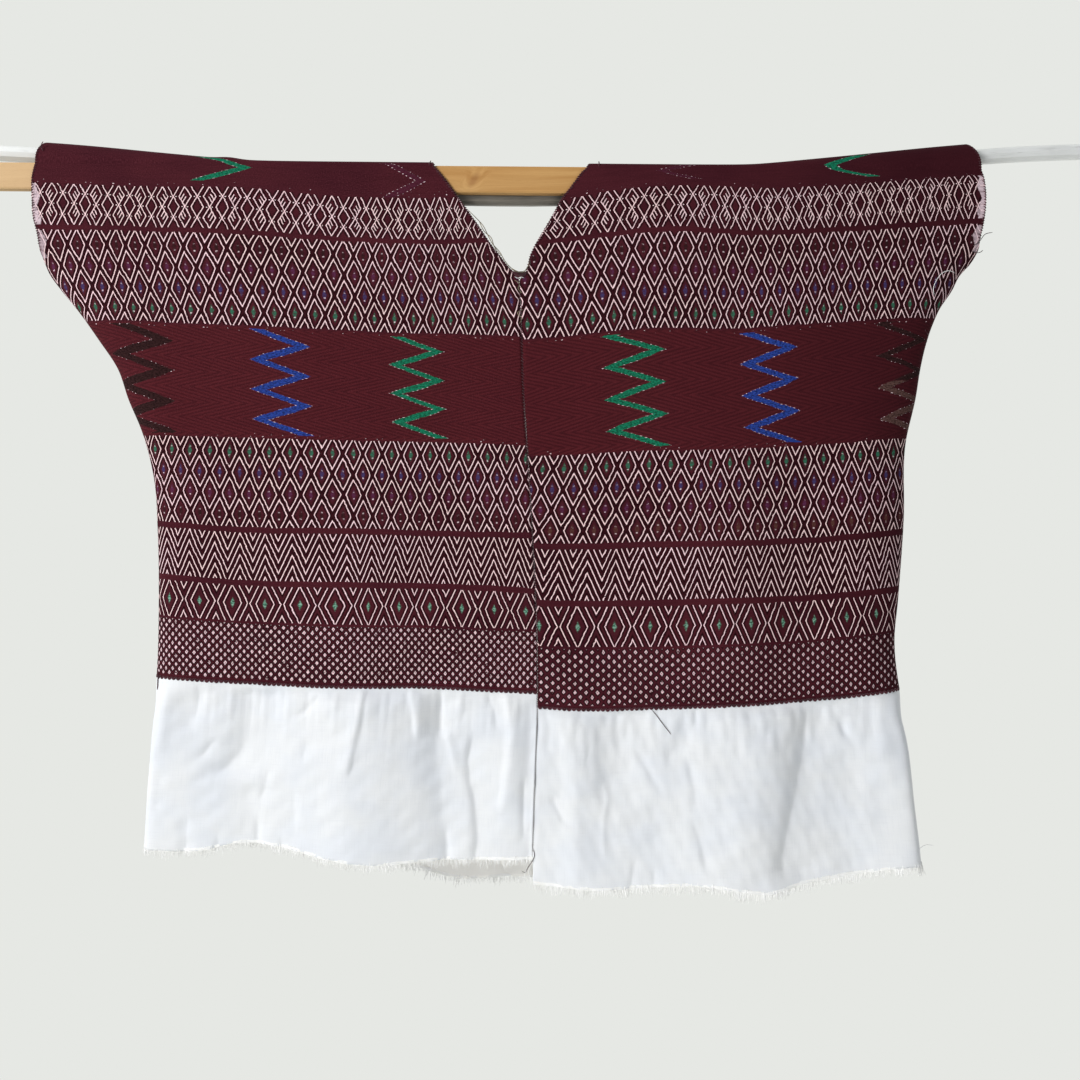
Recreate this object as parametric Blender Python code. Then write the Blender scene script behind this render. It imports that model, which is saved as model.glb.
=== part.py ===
"""Huipil blouse of two brocaded lienzos, hung flat over a wooden slat and a sagging white rod.

Frame: millimetres are turned into metres when a mesh is made. +Z is up, the blouse faces -Y, and
the origin is the middle of the slat inside the neck. "down" is millimetres below the origin and
"across" is millimetres to the right of it, so one table row reads like a mark on a tape measure.

Each cloth piece is a grid of points on the middle of its wall, worked out from the tables, and
wall_object() gives the grid its thickness. Rows run down the cloth and columns run across it.
"""
from collections import namedtuple
import math

import bpy
import numpy as np

MM = 0.001

# ---- driving sizes, millimetres ------------------------------------------------------------
BROCADE_WALL = 1.8          # two-faced supplementary weft brocade
COTTON_WALL = 1.2           # plain white cotton
SEAM_GAP = 0.3
SLAT_THICK = 8.0
SLAT_HIGH = 23.5
SLAT_LEFT = -453.0
SLAT_RIGHT = 376.0
SLAT_RISE = -0.0081         # the slat climbs this much for each millimetre to the right
SLAT_ROUND = 2.0
ROD_RADIUS = 6.5
ROD_LEFT = -453.0
ROD_RIGHT = 498.0
ROD_BEHIND = 10.85          # the rod's axis, behind the slat's middle
ROD_POINTS = 36
FRONT_Y = -5.3              # middle of the front wall where it hangs off the slat
BACK_Y = 18.7               # middle of the back wall where it hangs off the rod
SIDE_Y = 6.75               # plane of the side seams
ROLL_WIDE = 38.0            # the wall turns to the side seam over this width
ARCH_POWER = 3.0            # superellipse power of the fold over the slat and rod
SHOULDER_DROP = 1.5         # the fold starts this far below the slat's top
SLAT_SLACK = 2.0            # room above the slat, under the fold's crown
ROD_SLACK = 0.6
BLEND = 2.0                 # softens the change from slat to rod
SLEEVE_SHUT = (56.0, 74.0)  # down: the sleeve mouth closes into the side seam between these
STRIP_HIGH = 3.5            # woven strip that the frayed ends hang from
STRAND_LONG = 5.0           # frayed ends below the strip
TAIL_MIDDLE = 520           # down: where the tails' columns are set out
TAIL_FALL = 130             # the gathers reach their full depth over this drop

FRONT_ROWS = 18
ARCH_ROWS = 10
FLAT_COLUMNS = 10
ROLL_COLUMNS = 5
TAIL_ROWS = 5
TAIL_COLUMNS = 34

# ---- tables --------------------------------------------------------------------------------
Mark = namedtuple("Mark", "down across")

LEFT_OUTLINE = [Mark(*row) for row in (   # sleeve mouth, underarm curve, side seam
    (-40, -402), (-20, -410), (-2, -415), (15, -415), (32, -414), (48, -410), (62, -408),
    (72, -407), (79, -404), (90, -396), (111, -379), (135, -362), (159, -346), (187, -336),
    (213, -325), (256, -314), (300, -311), (359, -310), (427, -312), (478, -317), (529, -321),
    (640, -326))]
RIGHT_OUTLINE = [Mark(*row) for row in (
    (-40, 380), (-20, 388), (-2, 396), (12, 398), (37, 396), (50, 393), (62, 391),
    (70, 388), (79, 380), (94, 372), (107, 363), (122, 356), (140, 350), (157, 346),
    (187, 341), (222, 333), (290, 331), (360, 326), (394, 323), (440, 328), (480, 337),
    (532, 343), (575, 348), (640, 354))]
LEFT_NECK = [Mark(*row) for row in (
    (-20, -79), (-14, -74.6), (0, -62.7), (12, -54.2), (30, -41.5), (42, -33), (55, -24.5),
    (66, -16), (75, -9.2), (83, -1.1), (92, 9), (120, 40))]
RIGHT_NECK = [Mark(*row) for row in (
    (-20, 68), (-14, 63.1), (-6, 53.7), (2, 47.8), (19, 35), (27, 30.8), (42, 22.3),
    (55, 14.6), (66, 9.5), (81, 5.0), (92, -6))]
CENTRE_SEAM = [Mark(*row) for row in (
    (0, 0), (83, 0.2), (129, 2.4), (189, 4.4), (227, 7), (312, 12), (359, 14.4), (450, 15.9),
    (529, 13.2), (571, 12), (640, 12))]

# A woven line across a lienzo: how far down it lies at the inner edge, near it, midway and outside
Line = namedtuple("Line", "name along inner near middle outer")
STATIONS = (0.0, 0.15, 0.5, 1.0)
LEFT_LINES = [Line(*row) for row in (
    ("first band", 22, 17.1, 16.2, 9.0, 3.5),
    ("second band", 62, 54.5, 55.3, 50.7, 45.1),
    ("neck point", 89, 83.0, 81.7, 76.6, 71.5),
    ("twill ground", 139, 135.2, 132.7, 128.4, 121.6),
    ("third band", 233, 227.0, 224.5, 222.8, 218.5),
    ("chevrons", 309, 301.8, 301.0, 299.3, 293.3),
    ("large diamonds", 356, 350.3, 347.7, 345.2, 338.4),
    ("dots", 391, 382.6, 381.7, 380.9, 374.1),
    ("brocade edge", 443, 437.8, 435.3, 433.6, 424.2))]
RIGHT_LINES = [Line(*row) for row in (
    ("first band", 22, 18.8, 8.2, 9.0, -1.6),
    ("second band", 62, 55.3, 49.4, 49.0, 38.3),
    ("neck point", 89, 80.8, 76.6, 74.9, 65.5),
    ("twill ground", 139, 136.9, 132.3, 128.0, 118.2),
    ("third band", 233, 235.5, 233.4, 231.3, 220.2),
    ("chevrons", 309, 312.0, 311.2, 310.8, 299.3),
    ("large diamonds", 356, 360.5, 359.6, 357.9, 350.3),
    ("dots", 391, 398.7, 398.7, 397.0, 386.0),
    ("brocade edge", 443, 450.6, 452.7, 451.4, 435.3))]

Bulge = namedtuple("Bulge", "down deep")
BULGES = [Bulge(*row) for row in (
    (-40, 0), (20, 0), (90, 2), (200, 4), (440, 6), (640, 7))]

# A soft fold: where its middle is at the top and at the hem, its half width, and how far it
# stands out towards the outside of the blouse (a trough is negative)
Fold = namedtuple("Fold", "top hem wide deep")
BODY_FOLDS = [Fold(*row) for row in (
    (-240, -250, 60, -2.0), (-150, -165, 70, 2.2), (-60, -70, 50, -1.8),
    (80, 70, 60, -1.6), (185, 185, 60, 2.4), (245, 232, 34, -3.0))]
FRONT_TAIL_FOLDS = [Fold(*row) for row in (
    (-279, -284, 12, -2.4), (-233, -262, 20, -5.5), (-176, -176, 36, 4.6), (-130, -145, 11, -2.4),
    (-104, -108, 15, 2.4), (-74, -74, 17, -5.4), (-24, -24, 16, 4.4), (3, 1, 11, -2.6),
    (38, 43, 16, 3.4), (67, 70, 16, -4.0), (103, 112, 20, -1.4), (182, 184, 36, 4.8),
    (236, 220, 17, -6.4), (256, 252, 13, 2.4), (275, 275, 12, -2.6), (305, 311, 18, 2.4))]
BACK_TAIL_FOLDS = [Fold(*row) for row in (
    (-285, -290, 16, 2.4), (-250, -240, 22, -4.6), (-190, -200, 26, 4.0), (-140, -140, 18, -3.4),
    (-95, -85, 20, 3.8), (-45, -50, 18, -4.4), (-12, -12, 12, 2.4), (45, 50, 18, -3.8),
    (90, 84, 22, 3.8), (140, 150, 20, -4.6), (200, 195, 28, 4.4), (250, 260, 18, -4.2),
    (300, 305, 18, 3.2))]

LEFT_FRONT_HEM = [Mark(*row) for row in (
    (575, -330), (576, -267), (570, -237), (572, -203), (581, -161), (586, -127), (585, -75),
    (584, 20))]
RIGHT_FRONT_HEM = [Mark(*row) for row in (
    (604, 10), (609, 69), (607, 112), (605, 154), (609, 190), (611, 204), (604, 239),
    (597, 282), (590, 324), (589, 360))]
LEFT_BACK_HEM = [Mark(*row) for row in (
    (574, -330), (576, -250), (584, -165), (598, -105), (608, -60), (609, 20))]
RIGHT_BACK_HEM = [Mark(*row) for row in (
    (609, 10), (606, 90), (600, 180), (594, 260), (588, 360))]

RodPoint = namedtuple("RodPoint", "aside high")   # the sagging rod is the same on both sides
ROD_SAG = [RodPoint(*row) for row in (
    (0, -12.0), (70, -10.2), (130, -3.6), (190, 3.8), (300, 15.2), (400, 24.5), (450, 27.5), (500, 29))]


# ---- curves --------------------------------------------------------------------------------
def follow(knots, values, at):
    """A smooth curve through the rows of a table: cubic Hermite, slopes from the neighbours."""
    knots, values, at = (np.asarray(given, float) for given in (knots, values, at))
    slopes = np.gradient(values, knots)
    at = np.clip(at, knots[0], knots[-1])
    low = np.clip(np.searchsorted(knots, at, side="right") - 1, 0, len(knots) - 2)
    span = knots[low + 1] - knots[low]
    t = (at - knots[low]) / span
    return ((2 * t**3 - 3 * t**2 + 1) * values[low] + (t**3 - 2 * t**2 + t) * span * slopes[low]
            + (3 * t**2 - 2 * t**3) * values[low + 1] + (t**3 - t**2) * span * slopes[low + 1])


def across_at(marks, down):
    return follow([mark.down for mark in marks], [mark.across for mark in marks], down)


def down_at(marks, across):
    return follow([mark.across for mark in marks], [mark.down for mark in marks], across)


def smooth_step(t):
    t = np.clip(t, 0, 1)
    return t * t * (3 - 2 * t)


def soft_max(one, other):
    """The larger of two heights, rounded where they meet."""
    return 0.5 * (one + other + np.sqrt((one - other) ** 2 + BLEND**2))


def slat_top(across):
    return SLAT_HIGH / 2 + SLAT_RISE * across


def rod_height(across):
    return follow([point.aside for point in ROD_SAG], [point.high for point in ROD_SAG],
                  np.abs(across))


def bulge_at(down):
    return follow([row.down for row in BULGES], [row.deep for row in BULGES], down)


def fold_sum(folds, across, share):
    """Sum of soft folds; share runs from 0 at the folds' top to 1 at the hem."""
    across, share = np.broadcast_arrays(across, share)
    total = np.zeros(across.shape)
    for fold in folds:
        middle = fold.top + (fold.hem - fold.top) * share
        total = total + fold.deep * np.exp(-((across - middle) / fold.wide) ** 2)
    return total


# ---- the body of the blouse ----------------------------------------------------------------
class Half:
    """One lienzo's side of the blouse: -1 is the left one, 1 is the right one."""

    def __init__(self, sign):
        self.sign = sign
        self.outline = LEFT_OUTLINE if sign < 0 else RIGHT_OUTLINE
        self.neck = LEFT_NECK if sign < 0 else RIGHT_NECK
        self.lines = LEFT_LINES if sign < 0 else RIGHT_LINES

    def inner(self, down):
        """The neck's edge or the centre seam, whichever is further out."""
        seam = across_at(CENTRE_SEAM, down)
        neck = across_at(self.neck, down)
        edge = np.maximum(neck * self.sign, seam * self.sign) * self.sign
        return edge + self.sign * SEAM_GAP / 2

    def outer(self, down):
        return across_at(self.outline, down)

    def line_down(self, along, station):
        """How far down the woven line at `along` lies, at a share of the way across."""
        shoulder = [-(slat_top(self.inner(-10) * (1 - s) + self.outer(-10) * s) - SHOULDER_DROP)
                    for s in STATIONS]
        knots = [0.0] + [line.along for line in self.lines]
        places = [[shoulder[k]] + [line[k + 2] for line in self.lines] for k in range(4)]
        stations = np.array([follow(knots, place, along) for place in places])
        return follow(STATIONS, stations, station)

    def columns(self, inner, outer, flat_columns):
        """Places across a row, close together where the wall rolls to the side; and that roll."""
        start = outer - self.sign * ROLL_WIDE
        flat = np.linspace(inner, start, flat_columns + 1)
        turn = np.linspace(0, math.pi / 2, ROLL_COLUMNS + 1)[1:]
        rolled = start + (outer - start) * np.sin(turn)
        return np.concatenate([flat, rolled]), np.concatenate([np.ones(flat.shape), np.cos(turn)])

    def wall_y(self, face, across, down, roll, shut, folds_out):
        """Distance of the wall's middle from the slat's plane; face is -1 for front, 1 for back."""
        hang = (FRONT_Y if face < 0 else BACK_Y) + face * (bulge_at(down) + folds_out)
        seam = SIDE_Y + face * SEAM_GAP / 2
        return seam + (hang - seam) * ((1 - shut) + shut * roll)

    def body_row(self, face, along, flat_columns):
        """One row of points across the lienzo, and how far its side is sewn shut."""
        inner = self.inner(self.line_down(along, 0.0))
        outer_down = self.line_down(along, 1.0)
        outer = self.outer(outer_down)
        across, roll = self.columns(float(inner), float(outer), flat_columns)
        station = (across - inner) / (outer - inner)
        down = self.line_down(along, station)
        shut = smooth_step((outer_down - SLEEVE_SHUT[0]) / (SLEEVE_SHUT[1] - SLEEVE_SHUT[0]))
        folds = fold_sum(BODY_FOLDS, across * -face, 0.5) * smooth_step((along - 90) / 330)
        return self.points(face, across, down, roll, shut, folds), shut

    def points(self, face, across, down, roll, shut, folds):
        y = self.wall_y(face, across, down, roll, shut, folds * roll)
        return np.stack([across, y, -down], axis=-1)

    def arch_row(self, row_front, row_back, turn):
        """One row over the slat and rod: a superellipse from the front wall to the back wall."""
        across = row_front[:, 0]
        crown = soft_max(slat_top(across) + SLAT_SLACK,
                         rod_height(across) + ROD_RADIUS + ROD_SLACK) + BROCADE_WALL / 2
        foot_row = row_front if turn < math.pi / 2 else row_back
        reach = abs(math.cos(turn)) ** (2 / ARCH_POWER)
        climb = math.sin(turn) ** (2 / ARCH_POWER)
        y = SIDE_Y + (foot_row[:, 1] - SIDE_Y) * reach
        z = foot_row[:, 2] + (crown - foot_row[:, 2]) * climb
        station = np.linspace(0, 1, len(across))
        shift = ((self.inner(-crown[0]) - across[0]) * (1 - station)
                 + (self.outer(-crown[-1]) - across[-1]) * station)
        return np.stack([across + shift * math.sin(turn) ** 2, y, z], axis=-1)


def lienzo(half):
    """Front edge, up the front, over the slat and rod, and down the back to the back edge."""
    steps = np.linspace(half.lines[-1].along, 0, FRONT_ROWS + 1)
    front, back, shut = [], [], []
    for along in steps:
        row, closed = half.body_row(-1, along, FLAT_COLUMNS)
        front.append(row)
        shut.append(closed)
        back.append(half.body_row(1, along, FLAT_COLUMNS)[0])
    back[-1][:, 2] = soft_max(back[-1][:, 2], rod_height(back[-1][:, 0]))
    turns = np.linspace(0, math.pi, ARCH_ROWS + 1)[1:-1]
    arch = [half.arch_row(front[-1], back[-1], turn) for turn in turns]
    for lower, share in ((-2, 0.5), (-3, 0.15)):
        lift = back[-1][:, 2] - front[-1][:, 2]
        back[lower][:, 2] += lift * share
    points = np.array(front + arch + back[::-1])
    closed = np.array(shut + [0.0] * len(arch) + shut[::-1])
    return points, closed


def tail_rows(half, face, brocade_edge, folds, hem, columns, starts, ends):
    """White cotton below the brocade; starts and ends are millimetres above the hem, or None
    for the brocade's own edge. The sides flare and the seam wanders, so the columns lean."""
    inner, outer = half.inner(TAIL_MIDDLE), half.outer(TAIL_MIDDLE)
    across, roll = half.columns(float(inner), float(outer), columns)
    station = (across - inner) / (outer - inner)
    order = np.argsort(brocade_edge[:, 0])
    sewn_at = np.interp(across, brocade_edge[order, 0], -brocade_edge[order, 2])
    hem_at = down_at(hem, across)
    top = sewn_at + SEAM_GAP if starts is None else hem_at - starts
    rows = []
    for down in np.linspace(top, hem_at - ends, TAIL_ROWS + 1 if starts is None else 2):
        place = half.inner(down) + (half.outer(down) - half.inner(down)) * station
        if starts is None and not rows:
            down = np.interp(place, brocade_edge[order, 0], -brocade_edge[order, 2]) + SEAM_GAP
        fall = np.clip((down - sewn_at) / TAIL_FALL, 0, 1.2)
        soft = fold_sum(BODY_FOLDS, place * -face, 0.5)
        gathers = fold_sum(folds, place, fall) * smooth_step(fall * 1.6)
        rows.append(half.points(face, place, down, roll, 1.0, soft + gathers))
    return np.array(rows), np.ones(len(rows))


# ---- meshes --------------------------------------------------------------------------------
def outward(points, closed, face_hint):
    """Unit normals of a grid, pointing out of the blouse; edges that meet another are cut square."""
    along_rows = np.gradient(points, axis=0)
    along_columns = np.gradient(points, axis=1)
    normals = np.cross(along_rows, along_columns)
    if np.sum(normals[0, :, 1] * face_hint) < 0:
        normals = -normals
    normals[:, -1, 1] *= 1 - closed
    normals[:, 0, 0] = 0
    normals[[0, -1], :, 2] = 0
    return normals / np.linalg.norm(normals, axis=-1, keepdims=True)


def grid_faces(count_rows, count_columns):
    """Quads of a closed wall whose outer grid comes first and whose inner grid follows it."""
    index = np.arange(count_rows * count_columns).reshape(count_rows, count_columns)
    inner = index + index.size
    a, b, c, d = index[:-1, :-1], index[:-1, 1:], index[1:, 1:], index[1:, :-1]
    quads = [np.stack([a, b, c, d], -1).reshape(-1, 4)]
    quads.append(np.stack([a, d, c, b], -1).reshape(-1, 4) + index.size)
    for edge, rim in ((index[0], inner[0]), (index[-1][::-1], inner[-1][::-1]),
                      (index[::-1, 0], inner[::-1, 0]), (index[:, -1], inner[:, -1])):
        quads.append(np.stack([edge[1:], edge[:-1], rim[:-1], rim[1:]], -1))
    return np.concatenate(quads)


def make_object(name, vertices, faces, material):
    mesh = bpy.data.meshes.new(name)
    mesh.from_pydata((np.asarray(vertices) * MM).tolist(), [], [list(map(int, f)) for f in faces])
    mesh.materials.append(material)
    mesh.validate()
    mesh.shade_smooth()
    made = bpy.data.objects.new(name, mesh)
    bpy.context.scene.collection.objects.link(made)
    return made


def signed_volume(vertices, faces):
    total = 0.0
    for face in faces:
        for k in range(1, len(face) - 1):
            one, two, three = (vertices[face[i]] for i in (0, k, k + 1))
            total += np.dot(one, np.cross(two, three))
    return total


def wall_object(name, points, closed, face_hint, thick, material):
    normals = outward(points, closed, face_hint)
    outer = (points + normals * thick / 2).reshape(-1, 3)
    inner = (points - normals * thick / 2).reshape(-1, 3)
    vertices = np.concatenate([outer, inner])
    faces = grid_faces(points.shape[0], points.shape[1])
    if signed_volume(vertices, faces) < 0:
        faces = faces[:, ::-1]
    return make_object(name, vertices, faces, material)


def fray_object(name, points, face_hint, thick, strands, material):
    """A narrow woven strip with a tapered strand fused under every other stretch of it."""
    normals = outward(points, np.ones(len(points)), face_hint)
    outer, inner = points + normals * thick / 2, points - normals * thick / 2
    columns = points.shape[1]
    vertices = np.concatenate([outer.reshape(-1, 3), inner.reshape(-1, 3)])
    faces = grid_faces(2, columns).tolist()
    low = np.arange(columns) + columns
    extra, kept = [], []
    hanging = {2 * k + 1 for k in range(strands)}
    for face in faces:
        corners = set(face)
        stretch = [k for k in hanging if corners == {low[k], low[k + 1], low[k] + 2 * columns,
                                                     low[k + 1] + 2 * columns}]
        if not stretch:
            kept.append(face)
            continue
        k = stretch[0]
        root = [vertices[corner] for corner in face]
        middle = np.mean(root, axis=0)
        length = STRAND_LONG * (0.9 + 0.32 * math.sin(2.3 * k) + 0.14 * math.sin(5.1 * k + 1))
        lean = np.array([0.9 * math.sin(1.7 * k), 0.5 * math.sin(2.9 * k), -length])
        tips = [middle + (corner - middle) * 0.45 + lean for corner in root]
        first = len(vertices) + len(extra)
        extra.extend(tips)
        ring = list(range(first, first + 4))
        kept.append(ring)
        for side in range(4):
            after = (side + 1) % 4
            kept.append([face[side], face[after], ring[after], ring[side]])
    vertices = np.concatenate([vertices, np.array(extra)])
    if signed_volume(vertices, kept) < 0:
        kept = [face[::-1] for face in kept]
    return make_object(name, vertices, kept, material)


def finish(name, colour, rough):
    material = bpy.data.materials.new(name)
    material.use_nodes = True
    shader = material.node_tree.nodes["Principled BSDF"]
    shader.inputs["Base Color"].default_value = (*colour, 1)
    shader.inputs["Roughness"].default_value = rough
    shader.inputs["Metallic"].default_value = 0.0
    return material


# ---- what holds the blouse ------------------------------------------------------------------
def wooden_bar(material):
    """A slat with rounded long edges; both ends are cut square to X."""
    round_turns = [(corner, turn) for corner in range(4) for turn in (0, 0.5, 1)]
    ring = []
    for corner, turn in round_turns:
        angle = (corner + turn) * math.pi / 2
        quadrant = (corner + 0.5) * math.pi / 2
        ring.append((math.copysign(SLAT_THICK / 2 - SLAT_ROUND, math.cos(quadrant))
                     + SLAT_ROUND * math.cos(angle),
                     math.copysign(SLAT_HIGH / 2 - SLAT_ROUND, math.sin(quadrant))
                     + SLAT_ROUND * math.sin(angle)))
    count = len(ring)
    vertices = [(across, y, z + SLAT_RISE * across)
                for across in (SLAT_LEFT, SLAT_RIGHT) for y, z in ring]
    faces = [[k, (k + 1) % count, (k + 1) % count + count, k + count] for k in range(count)]
    faces += [list(range(count))[::-1], list(range(count, 2 * count))]
    if signed_volume(np.array(vertices), faces) < 0:
        faces = [face[::-1] for face in faces]
    return make_object("wooden_bar", vertices, faces, material)


def white_rod(material):
    """A round rod along the sagging line."""
    curve = bpy.data.curves.new("white_rod", "CURVE")
    curve.dimensions = "3D"
    curve.bevel_depth = ROD_RADIUS * MM
    curve.bevel_resolution = 3
    curve.use_fill_caps = True
    spline = curve.splines.new("POLY")
    spline.points.add(ROD_POINTS - 1)
    for point, across in zip(spline.points, np.linspace(ROD_LEFT, ROD_RIGHT, ROD_POINTS)):
        point.co = (across * MM, ROD_BEHIND * MM, float(rod_height(across)) * MM, 1)
    curve.materials.append(material)
    made = bpy.data.objects.new("white_rod", curve)
    bpy.context.scene.collection.objects.link(made)
    return made


# ---- build ---------------------------------------------------------------------------------
def build():
    for old in list(bpy.data.objects):
        bpy.data.objects.remove(old, do_unlink=True)

    wine = finish("burgundy_brocade", (0.075, 0.014, 0.02), 0.85)
    cotton = finish("white_cotton", (0.82, 0.83, 0.86), 0.8)
    wooden_bar(finish("pale_wood", (0.62, 0.38, 0.18), 0.55))
    white_rod(finish("white_plastic", (0.8, 0.8, 0.78), 0.35))

    hems = {("left", "front"): LEFT_FRONT_HEM, ("right", "front"): RIGHT_FRONT_HEM,
            ("left", "back"): LEFT_BACK_HEM, ("right", "back"): RIGHT_BACK_HEM}
    strands = {"front": 34, "back": 26}
    for side, sign in (("left", -1), ("right", 1)):
        half = Half(sign)
        points, closed = lienzo(half)
        lienzo_edge = {-1: points[0], 1: points[-1]}
        wall_object(f"{side}_lienzo", points, closed, -1, BROCADE_WALL, wine)
        for where, face in (("front", -1), ("back", 1)):
            folds = FRONT_TAIL_FOLDS if face < 0 else BACK_TAIL_FOLDS
            cut = (half, face, lienzo_edge[face], folds, hems[side, where])
            points, closed = tail_rows(*cut, TAIL_COLUMNS, None, STRAND_LONG + STRIP_HIGH)
            wall_object(f"{side}_{where}_tail", points, closed, face, COTTON_WALL, cotton)
            count = strands[where]
            points, closed = tail_rows(*cut, 2 * count - ROLL_COLUMNS + 1,
                                       STRAND_LONG + STRIP_HIGH - SEAM_GAP, STRAND_LONG)
            fray_object(f"{side}_{where}_fray", points, face, COTTON_WALL, count, cotton)


build()
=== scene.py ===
# %% [markdown]
# # A huipil blouse on a hanging bar
# A huipil is a blouse of uncut webs from a backstrap loom. This one has two webs, called lienzos,
# that fold over the shoulders and are sewn down the middle and the sides. The brocade ends in a
# scalloped edge, and the plain white cotton below it was left raw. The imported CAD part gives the
# true form; this lesson dresses it in cloth. The frame is loaded first, because every later size
# is set against it.

# %% Load the fixed frame
import math

import bpy
import numpy as np
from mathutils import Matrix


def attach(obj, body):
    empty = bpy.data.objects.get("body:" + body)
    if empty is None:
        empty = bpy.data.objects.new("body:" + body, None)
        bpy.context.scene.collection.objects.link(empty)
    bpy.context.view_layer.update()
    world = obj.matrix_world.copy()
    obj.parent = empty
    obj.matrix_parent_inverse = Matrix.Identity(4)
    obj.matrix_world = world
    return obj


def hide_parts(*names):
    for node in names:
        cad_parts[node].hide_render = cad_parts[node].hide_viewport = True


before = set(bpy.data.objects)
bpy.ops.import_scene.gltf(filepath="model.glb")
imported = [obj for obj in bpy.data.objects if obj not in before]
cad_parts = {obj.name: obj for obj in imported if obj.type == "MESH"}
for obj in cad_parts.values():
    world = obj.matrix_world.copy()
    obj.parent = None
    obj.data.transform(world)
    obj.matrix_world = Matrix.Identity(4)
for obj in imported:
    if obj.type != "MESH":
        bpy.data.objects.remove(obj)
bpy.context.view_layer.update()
MM = 0.001

# %% [markdown]
# ## The camera
# The camera looks straight at the middle of the blouse from a little under a metre, level with the
# second lightning band. It is made first so that each later step can be judged through it.

# %% Place the camera
bpy.context.scene.view_settings.view_transform = "Standard"
CAMERA_FROM = (0.018, -0.928, -0.3078)
HALF_VIEW, VIEW_DEPTH = 0.459, 0.92

lens = bpy.data.cameras.new("camera")
lens.sensor_fit = "HORIZONTAL"
lens.angle = 2 * math.atan(HALF_VIEW / VIEW_DEPTH)
lens.clip_start, lens.clip_end = 0.01, 60
camera = bpy.data.objects.new("camera", lens)
camera.location, camera.rotation_euler = CAMERA_FROM, (math.pi / 2, 0, 0)
bpy.context.scene.collection.objects.link(camera)
bpy.context.scene.camera = camera
print("field of view:", round(math.degrees(lens.angle), 1), "degrees")

# %% [markdown]
# ## The measures of the blouse
# The same tape-measure tables that gave the solids give the cloth here. "down" is millimetres
# below the middle of the slat, and "across" is millimetres to the right of it. A table row is one
# mark; a smooth curve runs through the marks.

# %% Sides, thicknesses and the places of the bars
LEFT, RIGHT = -1, 1                 # as the viewer sees them
SIDE_NAMES = {LEFT: "left", RIGHT: "right"}
FACES = {"front": -1, "back": 1}    # the way each face looks along Y
SEAM_GAP = 0.3
FRONT_Y, BACK_Y, SIDE_Y = -5.3, 18.7, 6.75      # the two walls, and the seam between them
ROLL_WIDE = 38.0                    # the wall rolls to the side seam over this width
SLAT_HALF, SLAT_RISE = 11.75, -0.0081
ROD_RADIUS, ARCH_POWER, SHOULDER_DROP = 6.5, 3.0, 1.5
SLAT_SLACK, ROD_SLACK, BLEND = 2.0, 0.6, 2.0
SLEEVE_SHUT = (56.0, 74.0)          # the sleeve's opening closes between these depths
BROCADE_WALL, BROCADE_THICK, COTTON_THICK = 1.8, 1.4, 1.0
BROCADE_EDGE, ARCH_ALONG = 443.0, 36.0          # millimetres of web down a face and over the top
TAIL_MIDDLE, STRAND_LONG = 520, 5.0
print("one whole web:", 2 * BROCADE_EDGE + ARCH_ALONG, "mm long")

# %% Tables of the outline, the neck and the centre seam

OUTLINE = {
    LEFT: np.array([
        (-40, -402), (-20, -410), (-2, -415), (15, -415), (32, -414), (48, -410), (62, -408),
        (72, -407), (79, -404), (90, -396), (111, -379), (135, -362), (159, -346), (187, -336),
        (213, -325), (256, -314), (300, -311), (359, -310), (427, -312), (478, -317),
        (529, -321), (640, -326)], float),
    RIGHT: np.array([
        (-40, 380), (-20, 388), (-2, 396), (12, 398), (37, 396), (50, 393), (62, 391), (70, 388),
        (79, 380), (94, 372), (107, 363), (122, 356), (140, 350), (157, 346), (187, 341),
        (222, 333), (290, 331), (360, 326), (394, 323), (440, 328), (480, 337), (532, 343),
        (575, 348), (640, 354)], float)}
NECK = {
    LEFT: np.array([
        (-20, -79), (-14, -74.6), (0, -62.7), (12, -54.2), (30, -41.5), (42, -33), (55, -24.5),
        (66, -16), (75, -9.2), (83, -1.1), (92, 9), (120, 40)], float),
    RIGHT: np.array([
        (-20, 68), (-14, 63.1), (-6, 53.7), (2, 47.8), (19, 35), (27, 30.8), (42, 22.3),
        (55, 14.6), (66, 9.5), (81, 5.0), (92, -6)], float)}
CENTRE_SEAM = np.array([
    (0, 0), (83, 0.2), (129, 2.4), (189, 4.4), (227, 7), (312, 12), (359, 14.4), (450, 15.9),
    (529, 13.2), (571, 12), (640, 12)], float)
print("marks of the outlines:", {SIDE_NAMES[side]: len(marks) for side, marks in OUTLINE.items()})

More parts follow.
